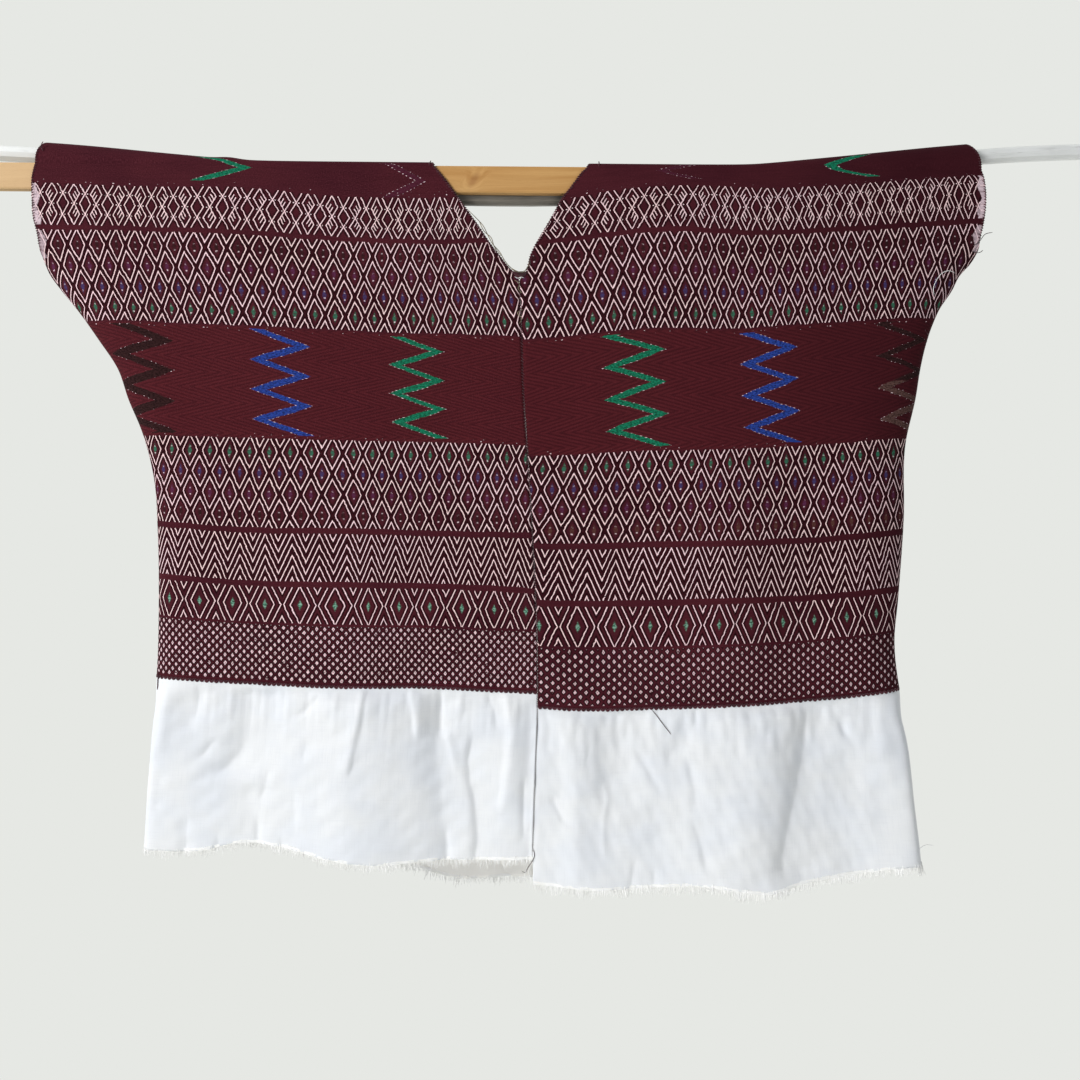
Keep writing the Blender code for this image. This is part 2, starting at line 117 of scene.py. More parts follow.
# %% Tables of the woven lines, the bulges, the rod and the hems
# Millimetres along the cloth, then how far down that woven line lies at the six stations.
STATIONS = np.array([0.0, 0.12, 0.3, 0.5, 0.75, 1.0])
WOVEN_LINES = {
    LEFT: np.array([
        (22, 16.7, 17.6, 15.4, 8.4, 7.2, 3.5), (62, 54.5, 56.2, 54.0, 48.6, 45.0, 43.0),
        (89, 83.0, 82.4, 81.6, 76.2, 72.8, 71.3), (139, 136.2, 134.3, 132.6, 128.8, 124.8, 121.0),
        (233, 228.0, 226.0, 224.7, 223.2, 221.2, 218.5),
        (309, 303.5, 302.9, 301.5, 299.9, 298.9, 293.1),
        (356, 351.1, 348.6, 346.6, 345.6, 344.1, 338.2),
        (391, 384.2, 383.2, 381.0, 380.1, 377.5, 372.2),
        (443, 436.7, 435.3, 432.3, 431.9, 428.6, 424.2)]),
    RIGHT: np.array([
        (22, 19.9, 11.0, 6.2, 8.6, 3.5, -3.3), (62, 56.8, 51.5, 45.2, 48.0, 43.8, 37.9),
        (89, 83.5, 80.0, 74.5, 76.2, 71.5, 67.0), (139, 139.2, 135.4, 129.1, 129.3, 124.0, 118.8),
        (233, 237.0, 235.5, 232.3, 231.1, 227.6, 220.4),
        (309, 312.6, 313.0, 311.4, 310.4, 307.4, 300.1),
        (356, 360.9, 361.7, 361.1, 359.4, 356.6, 349.2),
        (391, 398.1, 399.3, 399.0, 397.0, 393.4, 384.9),
        (443, 449.3, 451.6, 450.2, 448.0, 443.1, 435.1)])}

BULGES = np.array([(-40, 0), (20, 0), (90, 2), (200, 4), (440, 6), (640, 7)], float)
ROD_SAG = np.array([
    (0, -12.0), (70, -10.2), (130, -3.6), (190, 3.8), (300, 15.2), (400, 24.5), (450, 27.5),
    (500, 29)])

# A broad fold: its middle, half width and depth (a trough is negative).
BODY_FOLDS = np.array([
    (-245, 60, -2.0), (-157.5, 70, 2.2), (-65, 50, -1.8), (75, 60, -1.6), (185, 60, 2.4),
    (238.5, 34, -3.0)])
HEMS = {
    (LEFT, "front"): np.array([
        (575, -330), (576, -267), (570, -237), (572, -203), (581, -161), (586, -127),
        (585, -75), (584, 20)], float),
    (RIGHT, "front"): np.array([
        (604, 10), (609, 69), (607, 112), (605, 154), (609, 190), (611, 204), (604, 239),
        (597, 282), (590, 324), (589, 360)], float),
    (LEFT, "back"): np.array([
        (574, -330), (576, -250), (584, -165), (598, -105), (608, -60), (609, 20)], float),
    (RIGHT, "back"): np.array([
        (609, 10), (606, 90), (600, 180), (594, 260), (588, 360)], float)}
print("hems:", {f"{SIDE_NAMES[side]} {where}": len(hem) for (side, where), hem in HEMS.items()})

# %% [markdown]
# ## Curves through the marks
# A cubic Hermite curve passes through each mark and keeps its slope from one mark to the next, as
# cloth does. Straight segments would show as kinks in the sleeve and the woven lines.

# %% A smooth curve, a smooth step and a smooth maximum
def follow(knots, values, at):
    """Cubic Hermite through the marks: between two marks the height is a blend of both heights
    and both slopes. values may hold one column for each row of `at`."""
    knots, values, at = (np.asarray(given, float) for given in (knots, values, at))
    slopes = np.gradient(values, knots, axis=0)
    at = np.clip(at, knots[0], knots[-1])
    low = np.clip(np.searchsorted(knots, at, side="right") - 1, 0, len(knots) - 2)
    span = knots[low + 1] - knots[low]
    t = (at - knots[low]) / span

    def take(table, rows):
        return table[rows] if table.ndim == 1 else table[rows, np.arange(len(at))[:, None]]

    return ((2 * t**3 - 3 * t**2 + 1) * take(values, low)
            + (t**3 - 2 * t**2 + t) * span * take(slopes, low)
            + (3 * t**2 - 2 * t**3) * take(values, low + 1)
            + (t**3 - t**2) * span * take(slopes, low + 1))


def smooth_step(t):
    """0 below 0, 1 above 1, and 3t^2 - 2t^3 between."""
    t = np.clip(t, 0, 1)
    return t * t * (3 - 2 * t)


def soft_max(one, other):
    """The larger of two heights, rounded where they meet."""
    return 0.5 * (one + other + np.sqrt((one - other) ** 2 + BLEND**2))


print("halfway between two marks:", float(follow([0, 10, 20], [0, 4, 0], 5.0)))


# %% The edges of the blouse
def inner_edge(side, down):
    """The neck's edge or the centre seam, whichever lies further out."""
    seam = follow(CENTRE_SEAM[:, 0], CENTRE_SEAM[:, 1], down)
    neck = follow(NECK[side][:, 0], NECK[side][:, 1], down)
    return side * np.maximum(neck * side, seam * side) + side * SEAM_GAP / 2


def outer_edge(side, down):
    """The outline of the sleeve and the side."""
    return follow(OUTLINE[side][:, 0], OUTLINE[side][:, 1], down)


print("left panel at the second band is",
      round(float(inner_edge(LEFT, 120.0) - outer_edge(LEFT, 120.0)), 1), "mm wide")


# %% The bars and the woven lines
def slat_top(across):
    """Height of the slat's top, which slopes a little."""
    return SLAT_HALF + SLAT_RISE * across


def rod_height(across):
    """Height of the rod's middle: it is bowed alike on both sides."""
    return follow(ROD_SAG[:, 0], ROD_SAG[:, 1], np.abs(across))


def line_down(side, along, station):
    """How far down a woven line lies: along the cloth for each row, then across the stations."""
    lines, along = WOVEN_LINES[side], np.atleast_1d(along)
    inner, outer = inner_edge(side, -10.0), outer_edge(side, -10.0)
    shoulder = -(slat_top(inner * (1 - STATIONS) + outer * STATIONS) - SHOULDER_DROP)
    knots = np.concatenate([[0.0], lines[:, 0]])
    places = np.vstack([shoulder, lines[:, 1:]])
    stations = np.array([follow(knots, column, along) for column in places.T])
    return follow(STATIONS, stations, np.broadcast_to(station, (len(along), np.shape(station)[-1])))


print("the brocade ends", line_down(LEFT, BROCADE_EDGE, [0.0, 1.0]).round(1)[0],
      "mm down on the left, at the seam and at the side")

# %% [markdown]
# ## Folds, creases and puckers
# Cloth that hangs flat still has broad swells, and cotton that was folded away keeps short, soft
# creases. Each one is a bell-shaped trough or ridge, laid one by one. A simulation would give other
# folds than this blouse has.

# %% Table of the tails' folds
# A fold of the tails: marks (down, across) along it, its width to the left and to the right, and
# its depth (a trough is negative). A narrow right side makes that side the steep one.
TAIL_FOLDS = {
    "front": [
        ([(425, -296), (455, -301), (493, -306)], 4, 5, 1.6),
        ([(433, -284), (452, -280), (476, -278)], 12, 6, -1.8),
        ([(425, -272), (442, -272), (464, -275)], 3, 7, -2.2),
        ([(425, -227), (455, -226), (476, -230), (490, -238), (506, -253), (515, -263)],
         12, 36, -4.8),
        ([(473, -255), (486, -265), (495, -273)], 3.6, 5, -1.4),
        ([(510, -229), (537, -227), (603, -231)], 16, 22, -2.2),
        ([(499, -211), (518, -215), (532, -221)], 3, 4, -1.1),
        ([(537, -222), (560, -222), (603, -222)], 2.8, 6, -1.8),
        ([(537, -283), (569, -283), (603, -283)], 4, 6, -1.9),
        ([(554, -255), (603, -257)], 3.4, 5, -1.8), ([(501, -303), (545, -308)], 3.6, 3, -0.9),
        ([(437, -166), (448, -176), (459, -188)], 4, 4, -1.8),
        ([(471, -178), (501, -183)], 4, 6, -1.0), ([(516, -189), (565, -189)], 8, 4, -1.2),
        ([(555, -201), (603, -201)], 2.8, 5, -1.7),
        ([(425, -134), (510, -136), (603, -141)], 44, 60, 7.4),
        ([(425, -129), (455, -134), (477, -139), (511, -146)], 7, 2.8, 2.0),
        ([(425, -91), (455, -87), (480, -84)], 3, 7, 2.2), ([(425, -66), (481, -66)], 5, 3, -1.9),
        ([(433, -67), (493, -68), (543, -64), (603, -61)], 15, 26, -4.6),
        ([(466, -62), (486, -57), (510, -52)], 3, 4, 1.0),
        ([(466, -36), (480, -40), (497, -43), (514, -41), (531, -37), (560, -35), (603, -40)],
         3.6, 15, -2.7),
        ([(425, -29), (455, -21), (475, -16)], 3, 4, -1.3), ([(425, -47), (460, -49)], 3, 3, 0.9),
        ([(425, -13), (452, -7), (471, -5), (493, -7), (518, -10), (542, -13)], 5, 13, 2.7),
        ([(442, 10), (518, 8), (603, 9)], 10, 6, -2.2), ([(506, 4), (565, 4)], 2.6, 2.4, -1.4),
        ([(550, -62), (603, -59)], 4, 4, -1.8), ([(442, 46), (510, 49), (632, 53)], 14, 30, 4.0),
        ([(442, 50), (460, 53), (471, 56)], 2.6, 4, -1.0),
        ([(442, 75), (476, 75), (505, 75), (537, 72)], 13, 26, -2.9),
        ([(477, 60), (501, 57)], 2.6, 4, -0.9),
        ([(510, 72), (528, 75), (545, 71), (565, 72), (582, 73)], 2.6, 2.8, 0.7),
        ([(445, 85), (494, 86)], 5, 6, -0.7),
        ([(481, 95), (494, 105), (510, 114), (529, 125)], 3, 5, -1.1),
        ([(455, 139), (481, 137), (499, 126)], 9, 12, -2.3),
        ([(489, 142), (511, 147), (537, 151)], 3.4, 5, -1.2),
        ([(537, 144), (560, 153), (594, 160)], 3, 6, -1.1),
        ([(521, 26), (537, 33), (552, 42)], 3.2, 3.6, -1.4),
        ([(442, 149), (466, 150)], 3, 2.6, -1.0),
        ([(442, 213), (510, 211), (632, 204)], 52, 32, 6.4),
        ([(429, 246), (455, 245), (480, 243), (503, 239), (528, 234), (547, 229), (573, 224),
          (599, 224)], 8, 42, -4.2),
        ([(452, 268), (467, 274), (484, 286)], 3.4, 5, -1.3),
        ([(484, 280), (527, 279), (586, 283), (632, 280)], 18, 24, -2.8),
        ([(433, 292), (467, 291)], 3, 2.2, 0.9),
        ([(433, 304), (471, 307), (501, 311)], 6, 6, 1.1), ([(433, 298), (483, 299)], 3, 3, -1.0),
        ([(433, 327), (518, 336), (632, 348)], 32, 30, 3.6), ([(574, 98), (632, 92)], 3, 4, -1.1),
        ([(581, 115), (632, 113)], 3, 4, -1.1), ([(452, 194), (477, 196)], 3, 4, -0.8)],
    "back": [
        ([(425, -285), (620, -290)], 18, 13, 2.4), ([(425, -250), (620, -240)], 24, 18, -4.6),
        ([(425, -190), (620, -200)], 29, 21, 4.0), ([(425, -140), (620, -140)], 20, 14, -3.4),
        ([(425, -95), (620, -85)], 22, 16, 3.8), ([(425, -45), (620, -50)], 20, 14, -4.4),
        ([(425, -12), (620, -12)], 13, 10, 2.4), ([(425, 45), (620, 50)], 20, 14, -3.8),
        ([(425, 90), (620, 84)], 24, 18, 3.8), ([(425, 140), (620, 150)], 22, 16, -4.6),
        ([(425, 200), (620, 195)], 31, 22, 4.4), ([(425, 250), (620, 260)], 20, 14, -4.2),
        ([(425, 300), (620, 305)], 20, 14, 3.2), ([(440, -250), (520, -240)], 7, 4.9, -1.9),
        ([(450, -120), (540, -130)], 6, 4.2, -1.8), ([(445, -60), (560, -50)], 6, 4.2, 1.8),
        ([(470, -190), (560, -200)], 8, 5.6, -1.6), ([(455, 60), (540, 70)], 6, 4.2, -2.0),
        ([(460, 140), (560, 130)], 8, 5.6, 1.8), ([(455, 220), (530, 228)], 6, 4.2, -1.8),
        ([(470, 280), (570, 284)], 7, 4.9, -1.6), ([(430, -290), (470, -286)], 4, 2.8, -1.6),
        ([(430, -20), (500, -26)], 4, 2.8, -1.4), ([(430, 110), (480, 104)], 4, 2.8, -1.5),
        ([(430, 256), (490, 262)], 5, 3.5, 1.5), ([(530, 20), (620, 14)], 5, 3.5, -1.6),
        ([(520, -276), (620, -280)], 5, 3.5, -1.5)]}
print("folds of the tails:", {where: len(folds) for where, folds in TAIL_FOLDS.items()})

# %% Table of the brocade's creases
# A crease of the brocade: from (down, across) to (down, across), half width, depth.
BROCADE_CREASES = {
    LEFT: np.array([
        (40, -240, 62, -170, 9, -0.9), (60, -330, 110, -318, 12, 0.8),
        (150, -60, 330, -40, 16, -0.7), (230, -190, 400, -205, 18, 0.7),
        (300, -280, 420, -290, 14, -0.8), (20, -100, 90, -70, 14, 0.7)]),
    RIGHT: np.array([
        (60, 30, 120, 44, 12, -1.1), (50, 110, 110, 122, 12, 0.9), (40, 200, 62, 250, 10, -0.8),
        (150, 40, 330, 46, 15, -0.8), (250, 170, 420, 185, 20, 0.7), (100, 300, 300, 285, 14, 0.8),
        (330, 250, 440, 240, 14, -0.7)])}
print("creases of the brocade:", sum(map(len, BROCADE_CREASES.values())))


# %% Broad folds and creases
def fold_sum(folds, across):
    """Sum of bell curves, depth times exp(-u^2), with u the distance in half widths."""
    middle, half_wide, depth = folds.T
    return (depth * np.exp(-(((across[..., None] - middle) / half_wide) ** 2))).sum(-1)


def crease_sum(creases, down, across):
    """Sum of short creases: a bell across a line segment, a quarter as deep at its two ends."""
    point = np.stack([down, across], -1)[..., None, :]
    start, end = creases[:, 0:2], creases[:, 2:4]
    length = np.linalg.norm(end - start, axis=1)
    along = ((point - start) * (end - start)).sum(-1) / length**2
    foot = start + np.clip(along, 0, 1)[..., None] * (end - start)
    off = np.linalg.norm(point - foot, axis=-1) / creases[:, 4]
    fade = 1 - 0.75 * np.clip(np.abs(along - 0.5) * 2, 0, 1) ** 2
    return (creases[:, 5] * fade * np.exp(-off**2)).sum(-1)


deepest = fold_sum(BODY_FOLDS, np.linspace(-300, 330, 64)).min()
print("deepest broad fold:", round(float(deepest), 2), "mm")

# %% Laid folds and slow waves
LONGEST_FADE, TROUGH_POWER, RIDGE_POWER = 14.0, 1.6, 2.0


def laid_folds(folds, top, down, across):
    """Sum of lopsided bells: exp(-|u / width|^power) across each fold's own line, where u is
    the distance from the line and the width differs left and right. Ridges are round, with
    power 2, and troughs are creased, with power 1.6. A fold fades in below the seam, the
    deeper the slower, and fades out at its two ends."""
    total = np.zeros(across.shape)
    for marks, left, right, depth in folds:
        at, line = np.array(marks, float).T
        u = across - np.interp(down, at, line)
        fade = min(LONGEST_FADE, 0.3 * (at[-1] - at[0]))
        ends = smooth_step((down - at[0]) / fade) * smooth_step((at[-1] - down) / fade)
        begin = smooth_step((down - top) / (3 + 1.6 * abs(depth)))
        power = TROUGH_POWER if depth < 0 else RIDGE_POWER
        bell = np.exp(-np.abs(u / np.where(u < 0, left, right)) ** power)
        total = total + depth * ends * begin * bell
    return total


def ripple(down, across, seed, long, high, sines=5):
    """Slow uneven waves: the mean of sines of different lengths and directions, from one seed."""
    draw = np.random.default_rng(100 + seed)
    total = np.zeros(np.broadcast(down, across).shape)
    for turn, stretch, start in zip(draw.uniform(0, math.pi, sines), draw.uniform(0.6, 1.7, sines),
                                    draw.uniform(0, 2 * math.pi, sines)):
        way = across * math.cos(turn) + down * math.sin(turn) * 0.5
        total = total + np.sin(2 * math.pi * way / (long * stretch) + start)
    return total * high / sines


high = ripple(np.zeros(64), np.linspace(0, 300, 64), 0, 120, 0.9)
print("a slow wave goes from", high.min().round(2), "to", high.max().round(2), "mm")


# %% Where the wall hangs
def wall_y(face, down, roll, shut, folds):
    """Where the wall hangs: its flat place, plus the bulge, plus the folds times the roll. Where
    the side is shut, the whole is drawn to the side seam in step with the roll."""
    bulge = follow(BULGES[:, 0], BULGES[:, 1], down)
    hang = (FRONT_Y if face < 0 else BACK_Y) + face * (bulge + folds * roll)
    seam = SIDE_Y + face * SEAM_GAP / 2
    return seam + (hang - seam) * ((1 - shut) + shut * roll)


print("front wall at the hem:", round(float(wall_y(-1, 600.0, 1.0, 1.0, 0.0)), 1), "mm along Y")

# %% [markdown]
# ## A thin shell from a grid
# Every cloth is a grid of points on the middle of its wall. Pushing the grid half a thickness each
# way along its normals, and joining the two sheets with a rim, gives a closed cloth with a real
# edge. It is done in arrays, so a fine grid costs little, and both sheets keep the woven
# coordinates that the pattern needs.

# %% A mesh from arrays
def new_mesh(name, vertices, quads, finish):
    """A smooth mesh from arrays; the vertices are given in millimetres."""
    mesh = bpy.data.meshes.new(name)
    mesh.vertices.add(len(vertices))
    mesh.vertices.foreach_set("co", (np.asarray(vertices) * MM).astype(np.float32).ravel())
    mesh.loops.add(quads.size)
    mesh.loops.foreach_set("vertex_index", quads.astype(np.int32).ravel())
    mesh.polygons.add(len(quads))
    mesh.polygons.foreach_set("loop_start", np.arange(0, quads.size, 4, dtype=np.int32))
    mesh.polygons.foreach_set("loop_total", np.full(len(quads), 4, np.int32))
    mesh.update(calc_edges=True)
    mesh.shade_smooth()
    mesh.materials.append(finish)
    piece = bpy.data.objects.new(name, mesh)
    bpy.context.scene.collection.objects.link(piece)
    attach(piece, "root")
    return piece


def set_uv(piece, name, corners):
    """One place of the map for each corner of each face."""
    layer = piece.data.uv_layers.new(name=name, do_init=False)
    layer.uv.foreach_set("vector", np.asarray(corners, np.float32).ravel())


# %% Normals, and shares of a length
def edge_normals(points, closed, face):
    """Unit normals of the grid, out of the blouse. An edge sewn to another is cut square."""
    normals = np.cross(np.gradient(points, axis=0), np.gradient(points, axis=1))
    if np.sum(normals[0, :, 1] * face) < 0:
        normals = -normals
    normals[:, -1, 1] *= 1 - closed
    normals[:, 0, 0] = 0
    normals[[0, -1], :, 2] = 0
    return normals / np.linalg.norm(normals, axis=-1, keepdims=True)


def spread(lengths):
    """Running sum of steps, from 0 to 1."""
    total = np.concatenate([[0.0], np.cumsum(lengths)])
    return total / total[-1]


# %% [markdown]
# Each cloth also carries a map for baking, OFBake. It lays the sheets over one square: the outer
# one over most of it, and the inner one in a narrow band above. A lienzo is laid in two halves, one
# over the other. The rims are thin ribbons at the top.

# %% The map for baking
# Low and high end of each band: for the outer and the inner sheet, the early and the late half.
BAKE_WHOLE = np.array([[(0.0, 0.78), (0.0, 0.78)], [(0.79, 0.97), (0.79, 0.97)]])
BAKE_HALVES = np.array([[(0.0, 0.45), (0.46, 0.84)], [(0.85, 0.91), (0.92, 0.97)]])
BAKE_RIM_LOW, BAKE_RIM_PITCH, BAKE_RIM_HIGH = 0.975, 0.006, 0.004


def bake_map(points, quads, sheet_size, rims, split):
    """Across the square goes the share of the row's length, and up it the share of the column's
    length, inside the band of that sheet and half. Rows from `split` on are the late half."""
    rows, columns = points.shape[:2]
    across = spread(np.linalg.norm(np.diff(points, axis=1), axis=-1).mean(0))
    steps = np.linalg.norm(np.diff(points, axis=0), axis=-1).mean(1)
    row, column = np.divmod(quads % (rows * columns), columns)
    late = (row.min(1) >= split).astype(int)
    inner = (np.arange(len(quads)) >= sheet_size).astype(int)
    low, high = (BAKE_HALVES if split < rows else BAKE_WHOLE)[inner, late].T
    running = np.stack([np.ones(rows), np.zeros(rows)])
    running[0, :split + 1] = spread(steps[:split])
    if split < rows:
        running[1, split:] = spread(steps[split:])
    share = running[late[:, None], row]
    bake = np.stack([across[column], low[:, None] + (high - low)[:, None] * share], -1)

    begin = 2 * sheet_size
    for k, rim in enumerate(rims):
        step, base = 1 / len(rim), BAKE_RIM_LOW + BAKE_RIM_PITCH * k
        run = np.arange(len(rim)) / len(rim)
        ribbon = bake[begin:begin + len(rim)]
        ribbon[..., 0] = run[:, None] + np.array([step, 0, 0, step])
        ribbon[..., 1] = base + np.array([0, 0, BAKE_RIM_HIGH, BAKE_RIM_HIGH])
        begin += len(rim)
    return bake


# %% Two sheets and a rim
def cloth_shell(name, points, closed, face, thick, finish, maps, split=None):
    """Two sheets half a thickness off the grid, and a rim round them. `maps` holds the woven
    coordinates of each grid point. Rows from `split` on are baked apart."""
    rows, columns = points.shape[:2]
    normals = edge_normals(points, closed, face)
    outer = (points + normals * thick / 2).reshape(-1, 3)
    inner = (points - normals * thick / 2).reshape(-1, 3)
    index = np.arange(rows * columns).reshape(rows, columns)
    a, b, c, d = index[:-1, :-1], index[:-1, 1:], index[1:, 1:], index[1:, :-1]
    sheets = [np.stack([a, b, c, d], -1).reshape(-1, 4),
              np.stack([a, d, c, b], -1).reshape(-1, 4) + index.size]
    rims = [np.stack([edge[1:], edge[:-1], edge[:-1] + index.size, edge[1:] + index.size], -1)
            for edge in (index[0], index[-1][::-1], index[::-1, 0], index[:, -1])]
    quads = np.concatenate(sheets + rims)
    bake = bake_map(points, quads, len(sheets[0]), rims, split or rows)

    first = outer[quads[0]]
    facing = np.cross(first[1] - first[0], first[2] - first[0])
    if np.dot(facing, normals[0, 0]) < 0:   # the faces have to look out of the cloth
        quads, bake = quads[:, ::-1], bake[:, ::-1]
    piece = new_mesh(name, np.concatenate([outer, inner]), quads, finish)
    for title, values in maps.items():
        set_uv(piece, title, values.reshape(-1, 2)[quads % index.size])
    set_uv(piece, "OFBake", bake)
    print(name, "faces:", len(quads))
    return piece


# %% [markdown]
# ## Sums of sockets
# Shader maths reads best as sums. `Value` wraps a socket, and its operators add Math nodes. `Tree`
# adds any other node from its type, settings and inputs, `Sums` names the usual ones, and `Finish`
# starts a material.

# %% A number that varies over a surface
class Value:
    """One socket of a node, which adds, multiplies and divides like a number."""

    def __init__(self, owner, socket):
        self.owner, self.socket = owner, socket

    def __add__(self, other):
        return self.owner.maths("ADD", self, other)

    def __sub__(self, other):
        return self.owner.maths("SUBTRACT", self, other)

    def __rsub__(self, other):
        return self.owner.maths("SUBTRACT", other, self)

    def __mul__(self, other):
        return self.owner.maths("MULTIPLY", self, other)

    def __truediv__(self, other):
        return self.owner.maths("DIVIDE", self, other)

    __radd__, __rmul__ = __add__, __mul__


# %% Any node from its type, settings and inputs
class Tree:
    """The node tree of a material or of the world."""

    def __init__(self, owner):
        owner.use_nodes = True
        self.tree = owner.node_tree

    def node(self, kind, settings=(), inputs=(), output=0):
        """Adds a node: settings first, then each input's value or link."""
        made = self.tree.nodes.new(kind)
        for key, value in dict(settings).items():
            if key == "stops":
                for k, (place, colour) in enumerate(value):
                    stop = (made.color_ramp.elements[k] if k < 2
                            else made.color_ramp.elements.new(place))
                    stop.position, stop.color = place, (*colour, 1)
            elif key == "interpolation":
                made.color_ramp.interpolation = value
            else:
                setattr(made, key, value)
        for key, value in dict(inputs).items():
            self.feed(made.inputs[key], value)
        return Value(self, made.outputs[output])

    def feed(self, socket, value):
        """A link for a Value, and the socket's own number for anything else."""
        if isinstance(value, Value):
            self.tree.links.new(value.socket, socket)
        else:
            socket.default_value = value

    def maths(self, operation, *terms):
        return self.node("ShaderNodeMath", {"operation": operation}, dict(enumerate(terms)))


# %% The usual sums
class Sums(Tree):
    """Short names for the sums, coordinates and colours that every finish is made of."""

    def parts(self, vector, count):
        """The first two or all three numbers of a vector."""
        return [self.node("ShaderNodeSeparateXYZ", inputs={0: vector}, output=k)
                for k in range(count)]

    def coordinates(self, name):
        """The two woven coordinates of a cloth."""
        return self.parts(self.node("ShaderNodeUVMap", {"uv_map": name}), 2)

    def place(self):
        """The point itself, in metres in the piece's own space."""
        return self.node("ShaderNodeTexCoord", output=3)

    def point(self, x, y, z=0.0):
        return self.node("ShaderNodeCombineXYZ", inputs={0: x, 1: y, 2: z})

    def noise(self, where, scale, detail=2.0, rough=0.5):
        return self.node("ShaderNodeTexNoise", inputs={
            "Vector": where, "Scale": scale, "Detail": detail, "Roughness": rough})

    def rise(self, value, low, high):
        """0 below low, 1 above high, smooth between. It falls where low is above high."""
        return self.node("ShaderNodeMapRange", {"interpolation_type": "SMOOTHSTEP"},
                         {0: value, 1: low, 2: high, 3: 0.0, 4: 1.0})

    def size(self, value):
        return self.maths("ABSOLUTE", value)

    def off_whole(self, value):
        """Distance to the nearest whole number, 0 to 0.5."""
        return self.maths("PINGPONG", value, 0.5)

    def least(self, *values):
        result = values[0]
        for other in values[1:]:
            result = self.maths("MINIMUM", result, other)
        return result

    def most(self, *values):
        result = values[0]
        for other in values[1:]:
            result = self.maths("MAXIMUM", result, other)
        return result

    def steps(self, value, colours):
        """One colour after another as the value goes from 0 to 1, with hard changes."""
        return self.node("ShaderNodeValToRGB", {
            "interpolation": "CONSTANT",
            "stops": [(k / len(colours), colour) for k, colour in enumerate(colours)]}, {0: value})

    def mix(self, factor, one, other):
        return self.node("ShaderNodeMix", {"data_type": "RGBA"},
                         {0: factor, 6: self.paint(one), 7: self.paint(other)}, output=2)

    @staticmethod
    def paint(colour):
        return (*colour, 1.0) if isinstance(colour, tuple) and len(colour) == 3 else colour


# %% A material in the making
class Finish(Sums):
    """A new material, its main shader and its bump."""

    def __init__(self, name):
        self.material = bpy.data.materials.new(name)
        super().__init__(self.material)
        self.shader = self.tree.nodes["Principled BSDF"]

    def set(self, **sockets):
        for key, value in sockets.items():
            self.feed(self.shader.inputs[key.replace("_", " ")], self.paint(value))

    def bump(self, height, distance, strength=1.0):
        self.feed(self.shader.inputs["Normal"],
                  self.node("ShaderNodeBump", inputs={
                      "Height": height, "Distance": distance, "Strength": strength}))


def srgb(red, green, blue):
    """A paint-chart colour, 0 to 255, as the linear numbers that a shader takes."""
    return tuple(((c / 255 + 0.055) / 1.055) ** 2.4 if c > 10 else c / 255 / 12.92
                 for c in (red, green, blue))


print("mid grey in linear light:", round(srgb(128, 128, 128)[0], 3))

# %% [markdown]
# ## The brocade
# On the loom the weaver lays pale yarn by hand between the burgundy picks, so each motif is a stack
# of short floats. The pattern is worked out from the woven coordinates: repeats across the warp
# and millimetres along the cloth. Stacking is copied too: the height along the cloth is rounded to
# whole picks before a motif is drawn, so slanted lines have the small steps of real brocade.

# %% Yarn colours and the sizes of the motifs
PALE, PALE_WARM, PALE_DULL = srgb(255, 227, 233), srgb(255, 229, 227), srgb(196, 160, 164)
PALE_PINK, PINK_REFLECTION, WARP_PALE = srgb(236, 198, 208), srgb(196, 112, 124), srgb(216, 194, 202)
WINE, WINE_DULL, WINE_RED = srgb(75, 29, 37), srgb(64, 23, 32), srgb(88, 31, 36)
WINE_DEEP, WINE_SHADE, WINE_PALE = srgb(42, 11, 18), srgb(25, 3, 6), srgb(108, 54, 64)
GREEN, BLUE, BLACK = srgb(14, 106, 78), srgb(32, 58, 130), srgb(40, 24, 24)
BROWN, PLUM, TAN, SLATE = srgb(80, 58, 54), srgb(88, 42, 74), srgb(86, 56, 48), srgb(62, 58, 104)
LEAF, LEAF_PALE = srgb(44, 112, 88), srgb(150, 186, 168)
PICK = 0.85             # one row of floats
REPEAT = 16.7           # usual width of one repeat
LINE = 0.38             # half the width of a pale line
OUT = 9.0               # "far from any line", in millimetres
# Where each band begins and ends, in millimetres along the cloth.
BANDS = {"hooks": (21.0, 58.2), "upper": (62.0, 138.0), "twill": (139.0, 232.5),
         "lower": (233.0, 307.0), "chevrons": (311.4, 353.8), "large": (358.6, 390.4),
         "hearts": (360.0, 390.0), "seeds": (392.3, 439.7)}
print("picks from the fold to the edge:", round(BROCADE_EDGE / PICK))

# %% Where the repeats lie across the panels
# For each panel, where some repeats lie across at four heights along the cloth.
WARP_HEIGHTS = np.array([70.0, 127.0, 245.0, 345.0])
WARPS = {
    LEFT: np.array([
        (-2, 10, 22, 22, 21), (0, -20, -12, -10, -11), (4, -77, -73, -75.5, -77),
        (8, -140.5, -138.8, -140, -139), (12, -211.5, -207.4, -211.5, -211.5),
        (16, -286, -279, -279, -279), (20, -351.3, -343, -342.4, -342.4),
        (24, -418, -412, -404, -404)]),
    RIGHT: np.array([
        (-2, -36, -32, -29, -43), (0, 3, 7.3, 2, -5), (4, 78.4, 81.3, 74.5, 71.8),
        (8, 150.9, 150.2, 146.7, 143.8), (12, 214, 214.2, 211, 209), (16, 275.6, 274, 274.7, 274),
        (20, 335.4, 332.4, 334.2, 334.2), (24, 393, 389, 398, 398)])}


def repeats_at(side, along, across):
    """The repeat that lies at each place: the warp table read backwards, row by row."""
    table = WARPS[side]
    order = np.argsort(table[:, 1])
    places = np.array([np.interp(along, WARP_HEIGHTS, row) for row in table[:, 1:]])
    return np.array([np.interp(place, places[order, k], table[order, 0])
                     for k, place in enumerate(across)])


